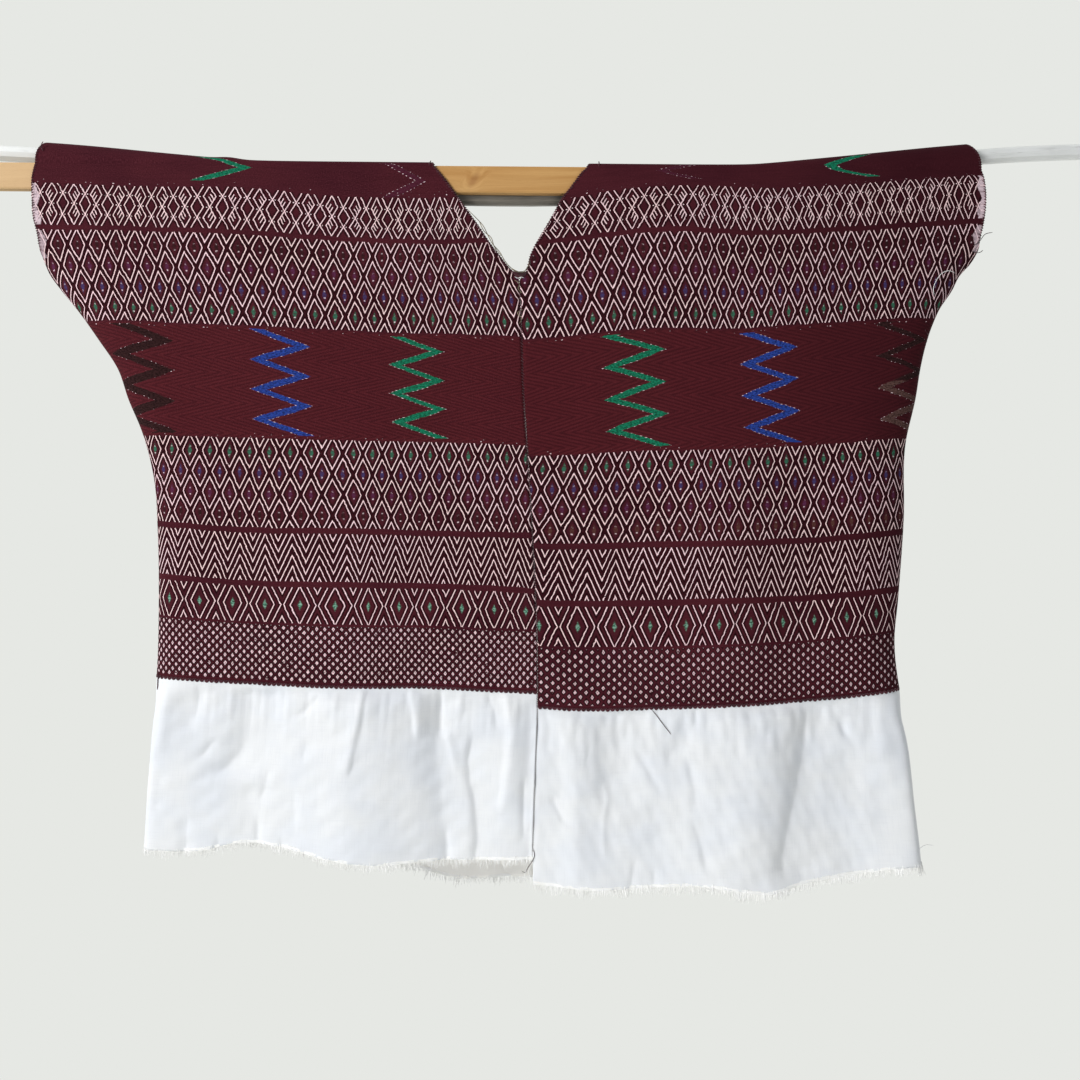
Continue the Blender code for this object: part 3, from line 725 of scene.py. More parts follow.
print("repeats across the front:", {
    name: round(float(np.ptp(repeats_at(side, np.array([127.0]), np.array([[0.0, side * 300.0]])))))
    for side, name in SIDE_NAMES.items()})

# %% [markdown]
# A motif answers one question: how many millimetres is this point from the nearest pale line? All
# bands answer in the same unit, so one rule at the end turns the smallest answer into yarn, and a
# wider one into the shade that thick yarn throws on its neighbours.

# %% The web's own coordinates
class Web:
    """Where a point lies on a lienzo. The weaver's hand is uneven, so noise moves it slightly."""

    def __init__(self, m):
        self.m = m
        self.repeat_true, self.raw = m.coordinates("cloth")
        self.from_seam, self.from_edge = m.coordinates("place")
        self.along = m.size(self.raw + ARCH_ALONG / 2) - ARCH_ALONG / 2   # the back like the front
        broad, fine = self.noise(0.9, 0.045, 2.0) - 0.5, self.noise(5.0, 0.3, 2.0) - 0.5
        self.fleck = self.noise(9.0, 0.7, 1.0)          # from float to float
        self.worn = self.noise(6.0, 0.45, 1.0)          # where yarn has rubbed away
        self.dye = self.noise(0.18, 0.02, 2.0)          # patches of the dye
        self.repeat = self.repeat_true + broad * 0.10 + fine * 0.07 + (self.fleck - 0.5) * 0.03
        self.level = self.along + broad * 2.0 + fine * 1.4
        self.raw_level = self.raw + broad * 2.0
        self.pick = (m.maths("FLOOR", self.level / PICK) + 0.5) * PICK
        self.streak = m.noise(m.point(self.repeat_true * 0.6, self.pick * 3.1), 1.0, 2.0)

    def noise(self, per_repeat, per_mm, detail):
        """Noise, 0 to 1, that changes this fast across and along the web."""
        return self.m.noise(self.m.point(self.repeat_true * per_repeat, self.along * per_mm), 1.0,
                            detail)

    def between(self, low, high, soft=0.25):
        """1 between two heights along the cloth, 0 outside."""
        return (self.m.rise(self.pick, low - soft, low + soft)
                * self.m.rise(self.pick, high + soft, high - soft))

    def only(self, gap, low, high):
        """Keeps a band's lines to its own picks."""
        return gap + (1.0 - self.between(low, high)) * OUT


# %% Diamond lattice, its cores and their glints
def lattice(web, band, first, phase, threads):
    """Half-drop rows of diamonds. near is 0 in a diamond's heart and 1 where two diamonds meet;
    bent a little, |x|^1.05 + |y|^1.05, its level lines have the blunt side tips of the weave."""
    m, step, bent, line_at = web.m, 17.4, 1.05, 0.745
    row = (web.pick - first) / step
    a = m.off_whole(web.repeat + phase) * 2.0
    b = m.maths("PINGPONG", row, 1.0)

    def bow(x, y):
        return m.maths("POWER", m.maths("POWER", x, bent) + m.maths("POWER", y, bent), 1 / bent)

    here, there = bow(a, b), bow(1.0 - a, 1.0 - b)
    near = m.least(here, there)
    gap = m.size(near - line_at) / math.hypot(2 / REPEAT, 1 / step)
    heart = web.between(*BANDS[band]) * m.rise(near, 0.70, 0.58)

    # x and y: millimetres from the nearest heart
    first_kind = m.rise(there - here, -0.01, 0.01)
    x = (a * first_kind + (1.0 - a) * (1.0 - first_kind)) * (REPEAT / 2)
    height = (web.level - first) / step
    y = (height - m.maths("ROUND", height)) * step
    core_wide, core_tall, above, below = 1.9, 5.4, 3.0, 2.6
    core = m.rise(x / core_wide + m.size(y) / core_tall, 1.2, 0.65) * heart
    spots = m.most(m.rise(m.size(y - above), 0.8, 0.3), m.rise(m.size(y + below), 0.7, 0.3) * 0.6)
    glint = m.rise(x, 0.95, 0.45) * heart * m.rise(web.fleck, 0.40, 0.55) * spots
    colour = m.steps(m.maths("ROUND", row) / 4.0 + 0.125, threads)
    return web.only(gap, *BANDS[band]), core, glint, colour


# %% Hooked diamonds over plain ones
HOOKS = {LEFT: (1.145, 2.19), RIGHT: (1.145, 2.70)}     # width in repeats, and a middle


def hooked_diamonds(web, width, middle):
    """Cells of a diamond grid; in the hooked rows two teeth slant from one side of each cell, and
    the side changes with each cell and row. A short float crosses each place where cells meet."""
    m, high, top = web.m, 9.2, 30.2
    reps = (web.repeat - middle) / width
    whole = m.maths("ROUND", reps)
    dx = (reps - whole) * 4.0
    b = m.maths("PINGPONG", (web.pick - top) / high, 1.0)
    here, there = m.size(dx) + b, (2.0 - m.size(dx)) + (1.0 - b)
    grade = math.hypot(4 / (width * REPEAT), 1 / high)
    cells = m.least(m.size(here - 1.0), m.size(there - 1.0)) / grade

    centre, tooth, lower_tooth = top + high, 0.36, 0.22
    mirror = 1.0 - m.maths("PINGPONG", whole, 1.0) * 2.0
    low_row = m.rise(web.pick, centre - 0.2, centre + 0.3)
    dy = (web.pick - top - low_row * 2 * high) / high * (1.0 - low_row * 2.0)
    slant, reach = dx * mirror - dy, dx * mirror + dy
    teeth = m.least(m.size(slant - tooth), m.size(slant + lower_tooth)) / grade
    teeth = teeth + m.rise(reach, -0.12, -0.28) * OUT + m.rise(here, 0.95, 1.05) * OUT

    in_mm, half_dash, fat = width * REPEAT / 4, 2.1, 0.25
    dashes = m.least(m.size(m.size(dx) * in_mm - half_dash) + (1.0 - b) * high,
                     m.size((2.0 - m.size(dx)) * in_mm - half_dash) + b * high)
    middle_rows = m.rise(m.size(web.pick - centre), 13.0, 12.0)
    dashes = dashes - fat + (1.0 - middle_rows) * OUT
    return web.only(m.least(cells, teeth, dashes), *BANDS["hooks"])


# %% Chevrons and large diamonds
CHEVRONS = {LEFT: (1.283, 7.05), RIGHT: (1.290, 1.97)}
LARGE = {LEFT: (1.657, 0.60), RIGHT: (1.678, 1.17)}


def chevrons(web, width, middle):
    """Stripes of constant height added to a zigzag: pick - swing, repeated every 9.6 mm."""
    m, first, climb, stripe = web.m, 311.9, 25.3, 9.6
    swing = m.off_whole((web.repeat - middle) / width) * 2.0
    off = m.off_whole((web.pick - first - swing * climb) / stripe)
    grade = math.hypot(1 / stripe, 2 * climb / (stripe * width * REPEAT))
    return web.only(off / grade, *BANDS["chevrons"])


def large_diamonds(web, width, middle):
    """Rings of |x| + |y| round each diamond's heart, and the heart itself."""
    m, row, wide, tall = web.m, 374.4, 0.272, 16.6
    heart_wide, heart_tall, rings = 1.9, 4.4, (1.0, 1.70, 2.43)
    dx, dy = m.off_whole((web.repeat - middle) / width), m.size(web.pick - row)
    nested = dx / wide + dy / tall
    grade = math.hypot(1 / (wide * width * REPEAT), 1 / tall)
    gap = m.least(*(m.size(nested - ring) for ring in rings)) / grade
    heart = m.rise(dx * (width * REPEAT / heart_wide) + dy / heart_tall, 1.25, 0.55)
    return web.only(gap, *BANDS["large"]), heart * web.between(*BANDS["hearts"])


# %% Seeds
SEEDS = {LEFT: (0.390, 0.0, 3.64), RIGHT: (0.500, 0.0, 3.80)}   # and the step of the rows, in mm


def seeds(web, width, middle, row_step):
    """A checker of small diamonds, each |x| + |y| round its own heart: 1 in a seed, 0 between.
    Some have lost their yarn."""
    m, first, half_wide, half_tall, soft = web.m, 394.6, 1.4, 2.06, 0.3
    a = m.off_whole((web.repeat - middle) / width) * 2.0
    b = m.maths("PINGPONG", (web.level - first) / row_step, 1.0)
    wide, tall = width * REPEAT / 2 / half_wide, row_step / half_tall
    far = m.least(a * wide + b * tall, (1.0 - a) * wide + (1.0 - b) * tall)
    patchy = web.noise(2.6, 0.28, 1.0)
    top, foot = BANDS["seeds"]
    zone = m.rise(web.along, top - soft, top + soft) * m.rise(web.along, foot + soft, foot - soft)
    full, fuller = 0.76, 0.2        # how pale a seed is at least, and how much more it may be
    kept = zone * m.rise(patchy, 0.26, 0.38) * (full + m.rise(patchy, 0.4, 0.6) * fuller)
    eye = m.rise(far, 0.42, 0.18) * m.rise(web.fleck, 0.38, 0.52)
    around = m.rise(far, 1.9, 1.45) * m.rise(far, 0.75, 1.0) * zone
    return m.rise(far, 1.08, 0.84) * kept, eye, around


# %% [markdown]
# ## The lightnings
# The plain twill carries zigzags of blue, green, black and brown, known as lightnings. A wandering
# line is the middle of the stroke: it runs out along half of each step and back along the rest.
# Around that, the stroke is a fixed number of warps wide, so its turns come out as sharp points.

# %% Table of the lightnings
LIGHTNING_STEP, RUN_OUT = {LEFT: 25.3, RIGHT: 24.7}, {LEFT: 0.505, RIGHT: 0.53}
BEADS, FEW_BEADS = {BLACK: 0.56, BROWN: 0.54}, 0.49     # the higher, the fewer beads are kept
# In mm from the seam: middle, half swing, half width; then where it starts along the cloth, the
# zone it fills, and its yarn.
LIGHTNINGS = {
    LEFT: ((206.1, 19.3, 6.6, 140.8, (140.4, 229.9), BLUE),
           (90.5, 18.0, 5.4, 140.5, (141.0, 229.7), GREEN),
           (324.0, 19.0, 8.5, 140.0, (140.0, 230.6), BLACK)),
    RIGHT: ((94.5, 20.5, 6.4, 141.7, (140.6, 229.6), GREEN),
            (208.7, 18.1, 6.2, 142.2, (141.6, 229.8), BLUE),
            (323.2, 17.5, 5.2, 142.2, (140.0, 187.0), BLACK),
            (323.2, 17.5, 6.0, 142.2, (187.0, 231.8), BROWN))}
SHOULDER_LIGHTNINGS = {
    LEFT: ((254.0, 20.5, 5.6, -10.1, (-9.5, 15.6), GREEN),
           (99.0, 15.5, 4.0, -3.1, (-3.0, 21.0), PLUM)),
    RIGHT: ((140.0, 18.5, 4.0, 3.0, (-7.0, 13.5), PLUM),
            (284.0, 19.0, 5.2, -2.0, (-11.0, 12.0), GREEN))}
print("strokes:", {name: len(LIGHTNINGS[side] + SHOULDER_LIGHTNINGS[side])
                   for side, name in SIDE_NAMES.items()})


# %% One lightning
def lightning(web, side, shape, rare, high):
    """The stroke and its beads, 1 where they are; rare is how few of the beads are kept."""
    m, (middle, swing, wide, start, zone) = web.m, shape
    bead_step, soft = 1.3, 0.4
    t, turn = m.maths("FRACT", (high - start) / LIGHTNING_STEP[side]), RUN_OUT[side]
    back = m.rise(t, turn, turn + 0.001)
    path = (t / turn) * (1.0 - back) + (1.0 - t) / (1 - turn) * back
    fatter = 1.0 + back * path * (1.0 - path) * 1.7     # the way back bulges in the middle
    half = (wide - 0.4) * fatter + web.fleck * 0.9
    off = m.size(web.from_seam - middle - (path - 0.5) * (2 * swing * side))
    in_neck_shade = m.rise(high, zone[0], zone[0] + soft) * m.rise(high, zone[1], zone[1] - soft)
    body = m.rise(off, half + 0.5, half - 0.5) * in_neck_shade
    bead = (m.rise(m.size(off - half - 0.2), 0.85, 0.45) * in_neck_shade
            * m.rise(m.off_whole(high / bead_step), 0.25, 0.15))
    return body, bead * m.rise(web.fleck, rare, rare + 0.08)


# %% [markdown]
# ## Layers of the brocade's colour
# The colour is built up like the weaving. The wine ground comes first, then the coloured cores and
# the shade round the motifs, then the pale floats, and last the lightnings. Each function below
# takes the colour so far and returns it with its own layer on top.

# %% The ground: herringbone twill between the lightnings, plain repp elsewhere
TWILL_START, TWILL_SLANT, TWILL_RIB = 140.5, 0.27, 2.9
FUZZ = {LEFT: (0.45, 0.32), RIGHT: (0.25, 0.18)}        # how dark and how light the nap is


def herringbone(web, side):
    """Ribs |turning - slant * across|: they run up, and turn back at each half step."""
    m = web.m
    turning = m.maths("PINGPONG", web.along - TWILL_START, LIGHTNING_STEP[side] / 2)
    ribs = (turning - web.from_seam * (TWILL_SLANT * side) + web.fleck) / TWILL_RIB
    return web.between(*BANDS["twill"], 0.8), m.off_whole(ribs) * 2.0


def wine_ground(web, side, twill, ribs):
    """Two wines in patches, darker where yarn took more dye; painted shade in twill furrows."""
    m, (dark, light) = web.m, FUZZ[side]
    ground = m.mix(m.rise(web.dye, 0.3, 0.7), WINE, WINE_DULL)
    ground = m.mix(twill * 0.75, ground, WINE_RED)
    ground = m.mix(m.rise(web.streak, 0.35, 0.8) * 0.30, ground, WINE_DEEP)
    # Painted shade: the twill's furrows are coloured darker, as the shade in them.
    ground = m.mix(twill * m.rise(ribs, 0.35, 0.75) * 0.45, ground, WINE_DEEP)
    fuzz = m.noise(m.point(web.from_seam * 0.9, web.along * 1.1), 1.0, 3.0)
    ground = m.mix(m.rise(fuzz, 0.5, 0.3) * dark, ground, WINE_DEEP)
    ground = m.mix(m.rise(fuzz, 0.5, 0.75) * light, ground, WINE_PALE)
    if side == RIGHT:   # painted shade towards the sleeve, away from the light; partly a deeper dye
        ground = m.mix(m.rise(web.from_seam, 120.0, 345.0) * 0.5, ground, WINE_DEEP)
    return ground


# %% Coloured cores, and the shade round the motifs
HEART_FULL = {LEFT: 0.95, RIGHT: 0.85}


def add_cores(web, side, ground, lattices, heart):
    """The cores are kept dim by the wine warps that cross them, and hold a few pale glints."""
    m = web.m
    for _, core, glint, threads in lattices:
        ground = m.mix(core * (0.30 + m.rise(web.fleck, 0.3, 0.6) * 0.55), ground, threads)
        ground = m.mix(glint * 0.7, ground, PALE)
    leaf = m.mix(m.rise(web.fleck, 0.40, 0.62) * 0.75, LEAF, LEAF_PALE)
    full = HEART_FULL[side] - m.rise(web.fleck, 0.42, 0.30) * 0.5
    return m.mix(heart * full, ground, leaf)


def add_shade(web, ground, gap, around):
    """Thick pale yarn shades the wine beside it, within 2.4 mm of a line and round each seed."""
    m = web.m
    ground = m.mix(m.rise(gap, 2.4, 1.0) * 0.95, ground, WINE_SHADE)
    return m.mix(around * 0.95, ground, WINE_SHADE)


# %% Pale floats
SEEDS_FULL = {LEFT: 1.0, RIGHT: 0.9}


def pale_floats(web, side, gap, seed, eye):
    """The floats' colour, and where they are: a line is the gap below half a yarn's width."""
    m = web.m
    pale = m.mix(m.rise(web.dye, 0.35, 0.65), PALE, PALE_WARM)
    pale = m.mix(m.rise(web.streak, 0.45, 0.8) * 0.22, pale, PALE_DULL)
    # Painted reflection: the edge of each float is tinted pink, as the red of the wine beside it
    # reflected onto the pale yarn.
    pale = m.mix(m.rise(gap, 0.12, 0.50) * m.rise(gap, 1.2, 1.0) * 0.85, pale, PINK_REFLECTION)
    pale = m.mix(seed * 0.6, pale, PALE_PINK)   # the seeds' yarn is the pinkest
    line = m.rise(gap, LINE + 0.20, LINE - 0.12) * m.rise(web.worn, 0.22, 0.30)
    seed_line = (seed * (1.0 - eye * 0.85) * (0.72 + m.rise(web.worn, 0.35, 0.6) * 0.28)
                 * SEEDS_FULL[side])
    return pale, m.most(line, seed_line)


# %% Lightnings, specks and bare warp
def add_lightnings(web, side, colour):
    """Each stroke is a plied cord of its yarn, edged with beads of pale yarn."""
    m = web.m
    strokes = [(*lightning(web, side, shape, BEADS.get(thread, FEW_BEADS), web.level), thread)
               for *shape, thread in LIGHTNINGS[side]]
    strokes += [(*lightning(web, side, shape, FEW_BEADS, web.raw_level), thread)
                for *shape, thread in SHOULDER_LIGHTNINGS[side]]
    plied = m.noise(m.point(web.from_seam * 0.5, web.level * 0.9), 1.0, 3.0)
    for body, _, thread in strokes:
        cord = m.mix(m.rise(plied, 0.35, 0.62), tuple(c * 0.5 for c in thread),
                     tuple(min(1.0, c * 1.45) for c in thread))
        colour = m.mix(body * (0.16 if thread is PLUM else 0.94), colour, cord)
    raised = m.most(*(body for body, _, _ in strokes))
    beads = m.most(*(bead for _, bead, _ in strokes))
    return m.mix(beads * 0.8, colour, PALE), raised


def add_loose_ends(web, colour):
    """Stray specks beside the bands, and bare pale warp at the sleeve's ragged edge."""
    m = web.m
    specks = m.rise(web.noise(7.0, 0.75, 0.0), 0.76, 0.84)
    beside = m.most(web.between(17.0, 20.5), web.between(139.5, 142.0), web.between(229.5, 232.0))
    colour = m.mix(specks * beside * 0.8, colour, PALE)
    ragged = m.off_whole(web.along / 18.4 + 0.14) * 7.0 + web.fleck * 2.0
    bare = (m.rise(web.from_edge + ragged, 8.6, 7.8) * m.rise(web.from_edge, 0.3, 0.9)
            * m.most(web.between(22.0, 58.0), web.between(63.0, 84.0) * 0.7))
    return m.mix(bare * (0.45 + m.rise(web.worn, 0.3, 0.6) * 0.5), colour, WARP_PALE)


# %% The brocade's material
def brocade(side):
    """All the layers of one lienzo, and a relief from the same values."""
    m = Finish(f"brocade_{SIDE_NAMES[side]}")
    web = Web(m)
    upper = lattice(web, "upper", 74.2, 0.5, (BLACK, PLUM, SLATE, LEAF))
    lower = lattice(web, "lower", 244.2, 0.0,
                    (LEAF, SLATE, PLUM, BLACK if side == LEFT else TAN))
    large, heart = large_diamonds(web, *LARGE[side])
    gap = m.least(upper[0], lower[0], hooked_diamonds(web, *HOOKS[side]),
                  chevrons(web, *CHEVRONS[side]), large)
    seed, eye, around = seeds(web, *SEEDS[side])

    twill, ribs = herringbone(web, side)
    ground = wine_ground(web, side, twill, ribs)
    ground = add_cores(web, side, ground, (upper, lower), heart)
    ground = add_shade(web, ground, gap, around)
    pale, yarns = pale_floats(web, side, gap, seed, eye)
    colour, raised = add_lightnings(web, side, m.mix(yarns, ground, pale))
    colour = add_loose_ends(web, colour)

    rep = m.off_whole(web.repeat_true * (REPEAT / 1.1))
    relief = (yarns * 1.0 + raised * 0.6 + rep * 0.3 * (1.0 - yarns)
              - m.off_whole(web.level / PICK) * 0.7 - ribs * twill * 0.6)
    m.bump(relief, 0.0004, 0.5)
    m.set(Base_Color=colour, Roughness=0.92 - yarns * 0.12, Sheen_Weight=0.015,
          Sheen_Roughness=0.5, Specular_IOR_Level=0.05)
    print(m.material.name, "nodes:", len(m.tree.nodes))
    return m.material


# %% [markdown]
# ## The white cotton
# The lower cloth is fine, even plain weave, washed soft. Its two sets of threads barely show, so
# they are a light checker of thin and thick threads in the bump, with a hint in the colour.

# %% The cotton's material
THREAD = 0.62           # from one thread to the next, in millimetres
# The cream is painted light, used to brighten the back tail.
COTTON, COTTON_COOL, COTTON_LIT_CREAM = srgb(236, 238, 240), srgb(229, 233, 239), srgb(254, 251, 246)
THICK_GREY, SLUB_GREY, WEAVE_GREY = srgb(214, 217, 223), srgb(216, 218, 224), srgb(205, 206, 214)


def cotton(name, painted_light):
    """Plain weave: count the threads across and along. Where the two counts add up to an odd
    number the warp shows, and where to an even one the weft. The last argument mixes in a
    lighter cream: painted light for the back tail, which hangs in the front tail's shade."""
    m = Finish(name)
    across, along = m.coordinates("cloth")
    thick = m.noise(m.point(across * 1.5, along * 0.05), 1.0, 2.0)
    slub = m.noise(m.point(across * 0.05, along * 1.5), 1.0, 2.0)
    warp = m.off_whole(across / THREAD) * 2.0
    weft = m.off_whole(along / THREAD) * 2.0
    over = m.off_whole((m.maths("FLOOR", across / THREAD) + m.maths("FLOOR", along / THREAD)) * 0.5)
    weave = warp * over * 2.0 + weft * (1.0 - over * 2.0)
    cloudy = m.noise(m.point(across * 0.02, along * 0.02), 1.0, 3.0)
    colour = m.mix(m.rise(cloudy, 0.35, 0.7), COTTON, COTTON_COOL)
    colour = m.mix(m.rise(thick, 0.45, 0.75) * 0.25, colour, THICK_GREY)
    colour = m.mix(m.rise(slub, 0.45, 0.75) * 0.20, colour, SLUB_GREY)
    colour = m.mix(weave * 0.10, colour, WEAVE_GREY)
    colour = m.mix(painted_light, colour, COTTON_LIT_CREAM)
    m.bump(thick * 0.4 + slub * 0.3 - weave * 0.5, 0.0003, 0.5)
    m.set(Base_Color=colour, Roughness=0.92, Sheen_Weight=0.15, Sheen_Roughness=0.4,
          Specular_IOR_Level=0.2)
    return m.material


# %% Spun yarns for stitches and fringe
def yarn(name, colour, other):
    """Spun thread: fine fibres, in two close colours."""
    m = Finish(name)
    where = m.place()
    fibre = m.noise(where, 2600.0, 2.0)
    tone = m.noise(where, 130.0, 2.0)
    m.set(Base_Color=m.mix(m.rise(tone, 0.35, 0.65), colour, other), Roughness=0.9,
          Sheen_Weight=0.2, Specular_IOR_Level=0.2)
    m.bump(fibre, 0.0001, 0.4)
    return m.material


# The back tail's cotton is painted lighter and warmer: painted light, as the back tail hangs in the
# shade behind the front tail.
COTTONS = {"front": cotton("cotton_front", 0.0), "back": cotton("cotton_back", 0.8)}
WINE_YARN = yarn("wine_yarn", srgb(82, 32, 44), srgb(56, 18, 28))
DARK_YARN = yarn("dark_yarn", srgb(52, 36, 40), srgb(86, 70, 74))
WHITE_YARN = yarn("white_yarn", srgb(252, 252, 252), srgb(244, 244, 242))
FLAX_YARN = yarn("flax_yarn", srgb(140, 126, 98), srgb(92, 84, 68))
print("materials so far:", len(bpy.data.materials))

# %% [markdown]
# ## The two lienzos
# Each lienzo is one long web: up the front, over the slat and the rod, and down the back. Its grid
# is worked out row by row along the web, so the woven lines sag and rise with the cloth. Where it
# passes over the bars it follows a superellipse, a rounded box, because two bars carry it.

# %% Places across a row
ROW_STEP, FLAT_COLUMNS, ROLL_COLUMNS, ARCH_ROWS = 3.0, 104, 14, 22
FACE_ROWS = round(BROCADE_EDGE / ROW_STEP) + 1


def columns_of(side, inner, outer, flat_columns):
    """Places across each row, closer where the wall rolls to the side; and the cosine of that
    roll."""
    start = outer - side * ROLL_WIDE
    flat = np.linspace(0, 1, flat_columns + 1)
    turn = np.linspace(0, math.pi / 2, ROLL_COLUMNS + 1)[1:]
    across = np.concatenate([inner[:, None] + (start - inner)[:, None] * flat,
                             start[:, None] + (outer - start)[:, None] * np.sin(turn)], axis=1)
    roll = np.concatenate([np.ones(len(flat)), np.cos(turn)])
    return across, np.broadcast_to(roll, across.shape)


print("grid of one face:", FACE_ROWS, "rows,", FLAT_COLUMNS + ROLL_COLUMNS + 1, "columns")

# %% One face of a lienzo
# The broad folds begin this far down the web, and take this long to come in full.
FOLDS_BEGIN, FOLDS_GROW = 90, 330
# The creases fade in from the shoulder and out before the edge over these lengths.
CREASES_IN, CREASES_OUT = 70, 30
WAVE_LONG, WAVE_HIGH = 120, 0.9
BACK_NARROWER = {-1: 1, 1: 0.97}    # so that the back's creases aren't those of the front


def face_grid(side, face, along):
    """One face of a lienzo: `along` gives a row; across comes from the edges at that row."""
    inner = inner_edge(side, line_down(side, along, [0.0])[:, 0])
    outer_down = line_down(side, along, [1.0])[:, 0]
    outer = outer_edge(side, outer_down)
    across, roll = columns_of(side, inner, outer, FLAT_COLUMNS)
    station = (across - inner[:, None]) / (outer - inner)[:, None]
    down = line_down(side, along, station)
    shut = smooth_step((outer_down - SLEEVE_SHUT[0]) / (SLEEVE_SHUT[1] - SLEEVE_SHUT[0]))[:, None]
    low = smooth_step((along - FOLDS_BEGIN) / FOLDS_GROW)[:, None]
    calm = (smooth_step(along / CREASES_IN)
            * smooth_step((BROCADE_EDGE - along) / CREASES_OUT))[:, None]
    creases = crease_sum(BROCADE_CREASES[side], down, across * BACK_NARROWER[face])
    swell = ripple(down, across, 7 + side + 10 * face, WAVE_LONG, WAVE_HIGH)
    folds = fold_sum(BODY_FOLDS, across * -face) * low + calm * (creases + swell)
    points = np.stack([across, wall_y(face, down, roll, shut, folds), -down], -1)
    return points, shut[:, 0]


# %% The arch over the bars
PLEAT_HIGH, PLEAT_AT, PLEAT_WIDE = 1.5, -250, 11    # a small pleat caught on the left


def arch_grid(side, front, back, turn):
    """Half a superellipse for each column, from the front's top row to the back's: reach is
    |cos(turn)|^(2/3) and climb is sin(turn)^(2/3)."""
    across = front[:, 0]
    crown = soft_max(slat_top(across) + SLAT_SLACK,
                     rod_height(across) + ROD_RADIUS + ROD_SLACK) + BROCADE_WALL / 2
    if side == LEFT:
        crown = crown + PLEAT_HIGH * np.exp(-(((across - PLEAT_AT) / PLEAT_WIDE) ** 2))
    foot = np.where(turn[..., None] < math.pi / 2, front, back)
    reach = np.abs(np.cos(turn)) ** (2 / ARCH_POWER)
    climb = np.sin(turn) ** (2 / ARCH_POWER)
    y = SIDE_Y + (foot[..., 1] - SIDE_Y) * reach
    z = foot[..., 2] + (crown - foot[..., 2]) * climb
    station = np.linspace(0, 1, len(across))
    shift = ((inner_edge(side, -crown[0]) - across[0]) * (1 - station)
             + (outer_edge(side, -crown[-1]) - across[-1]) * station)
    return np.stack([across + shift * np.sin(turn) ** 2, y, z], -1)


# %% The woven coordinates
def woven(side, points, raw):
    """Two maps. cloth: the repeat, and millimetres along the web. place: millimetres from the
    centre seam, and from the sleeve's edge. Round the side the web runs further than it shows,
    so there the repeats are read at the length of the cloth."""
    laid = points[:, :, 0]
    seam = follow(CENTRE_SEAM[:, 0], CENTRE_SEAM[:, 1],
                  np.clip(-points[:, :1, 2], 0, CENTRE_SEAM[-1, 0]))
    steps = np.diff(points[:, :, :2], axis=1)[:, FLAT_COLUMNS:]
    longer = np.cumsum(np.linalg.norm(steps, axis=-1) - np.abs(steps[:, :, 0]), axis=1)
    unrolled = laid.copy()
    unrolled[:, FLAT_COLUMNS + 1:] += side * longer
    repeats = repeats_at(side, np.abs(raw + ARCH_ALONG / 2) - ARCH_ALONG / 2, unrolled)
    return {"cloth": np.stack([repeats, np.broadcast_to(raw[:, None], repeats.shape)], -1),
            "place": np.stack([(laid - seam) * side, (laid[:, -1:] - laid) * side], -1)}


# %% A whole lienzo
LIFT_DOWN, LIFT_SHARE = (0, 24.6, 49.2, 73.8), (1, 0.5, 0.15, 0)


def lienzo_grid(side):
    """Front face, arch and back face as one grid. The rod lifts the top of the back face, and
    the lift fades over three times 24.6 mm."""
    along = np.linspace(BROCADE_EDGE, 0, FACE_ROWS)
    front, front_shut = face_grid(side, -1, along)
    back, back_shut = face_grid(side, 1, along)
    lift = soft_max(back[-1, :, 2], rod_height(back[-1, :, 0])) - back[-1, :, 2]
    back[:, :, 2] += lift * np.interp(along, LIFT_DOWN, LIFT_SHARE)[:, None]

    turn = np.linspace(0, math.pi, ARCH_ROWS + 1)[1:-1, None]
    arch = arch_grid(side, front[-1], back[-1], turn)
    points = np.concatenate([front, arch, back[::-1]])
    closed = np.concatenate([front_shut, np.zeros(len(arch)), back_shut[::-1]])
    raw = np.concatenate([along, -ARCH_ALONG * turn[:, 0] / math.pi, -ARCH_ALONG - along[::-1]])
    return points, closed, woven(side, points, raw)


# %% Weave the lienzos
lienzo_edges, lienzos = {}, {}
for side, name in SIDE_NAMES.items():
    points, closed, maps = lienzo_grid(side)
    lienzo_edges[side, "front"], lienzo_edges[side, "back"] = points[0], points[-1]
    piece = cloth_shell(f"{name}_lienzo_cloth", points, closed, -1, BROCADE_THICK,
                        brocade(side), maps, len(points) // 2)
    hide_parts(f"{name}_lienzo")
    lienzos[side] = (piece, points)

# %% [markdown]
# ## The white tails
# Below the brocade the cotton is slightly fuller than the brocade above it, so it puckers under the
# edge and falls in loose, uneven folds. The broad folds come from the same table as the solid;
# short creases and the small puckers are added on top.

# %% Depth of the cotton's folds
# Waves of the cotton: how much they turn with the depth, seed, length and height in millimetres.
PUCKERS = ((0.4, 31, 9, 0.6), (0.4, 51, 21, 1.2))
RUMPLES = ((1.6, 71, 44, 1.4), (2.0, 91, 17, 0.5))
SEAM_HOLDS = 9                          # the cotton is held flat this far below the seam
PUCKER_AT, PUCKER_WIDE = 10, 26         # the puckers are deepest here, and fade over this


def waves(table, side, face, down, across):
    """Sum of the ripples of a table, other ones for each tail."""
    return sum(ripple(down * lean, across, seed + side + 5 * face, long, high)
               for lean, seed, long, high in table)


def cotton_folds(side, where, top, down, across):
    """Broad folds, laid folds, puckers under the seam and rumples all over. A pucker keeps
    0.2 + 0.8 exp(-u^2) of its height, with u the distance below its deepest place."""
    face, below = FACES[where], down - top
    free = smooth_step(below / SEAM_HOLDS)
    near = 0.2 + 0.8 * np.exp(-(((below - PUCKER_AT) / PUCKER_WIDE) ** 2))
    return (fold_sum(BODY_FOLDS, across * -face)
            + laid_folds(TAIL_FOLDS[where], top, down, across)
            + waves(PUCKERS, side, face, down, across) * free * near
            + waves(RUMPLES, side, face, down, across) * free)


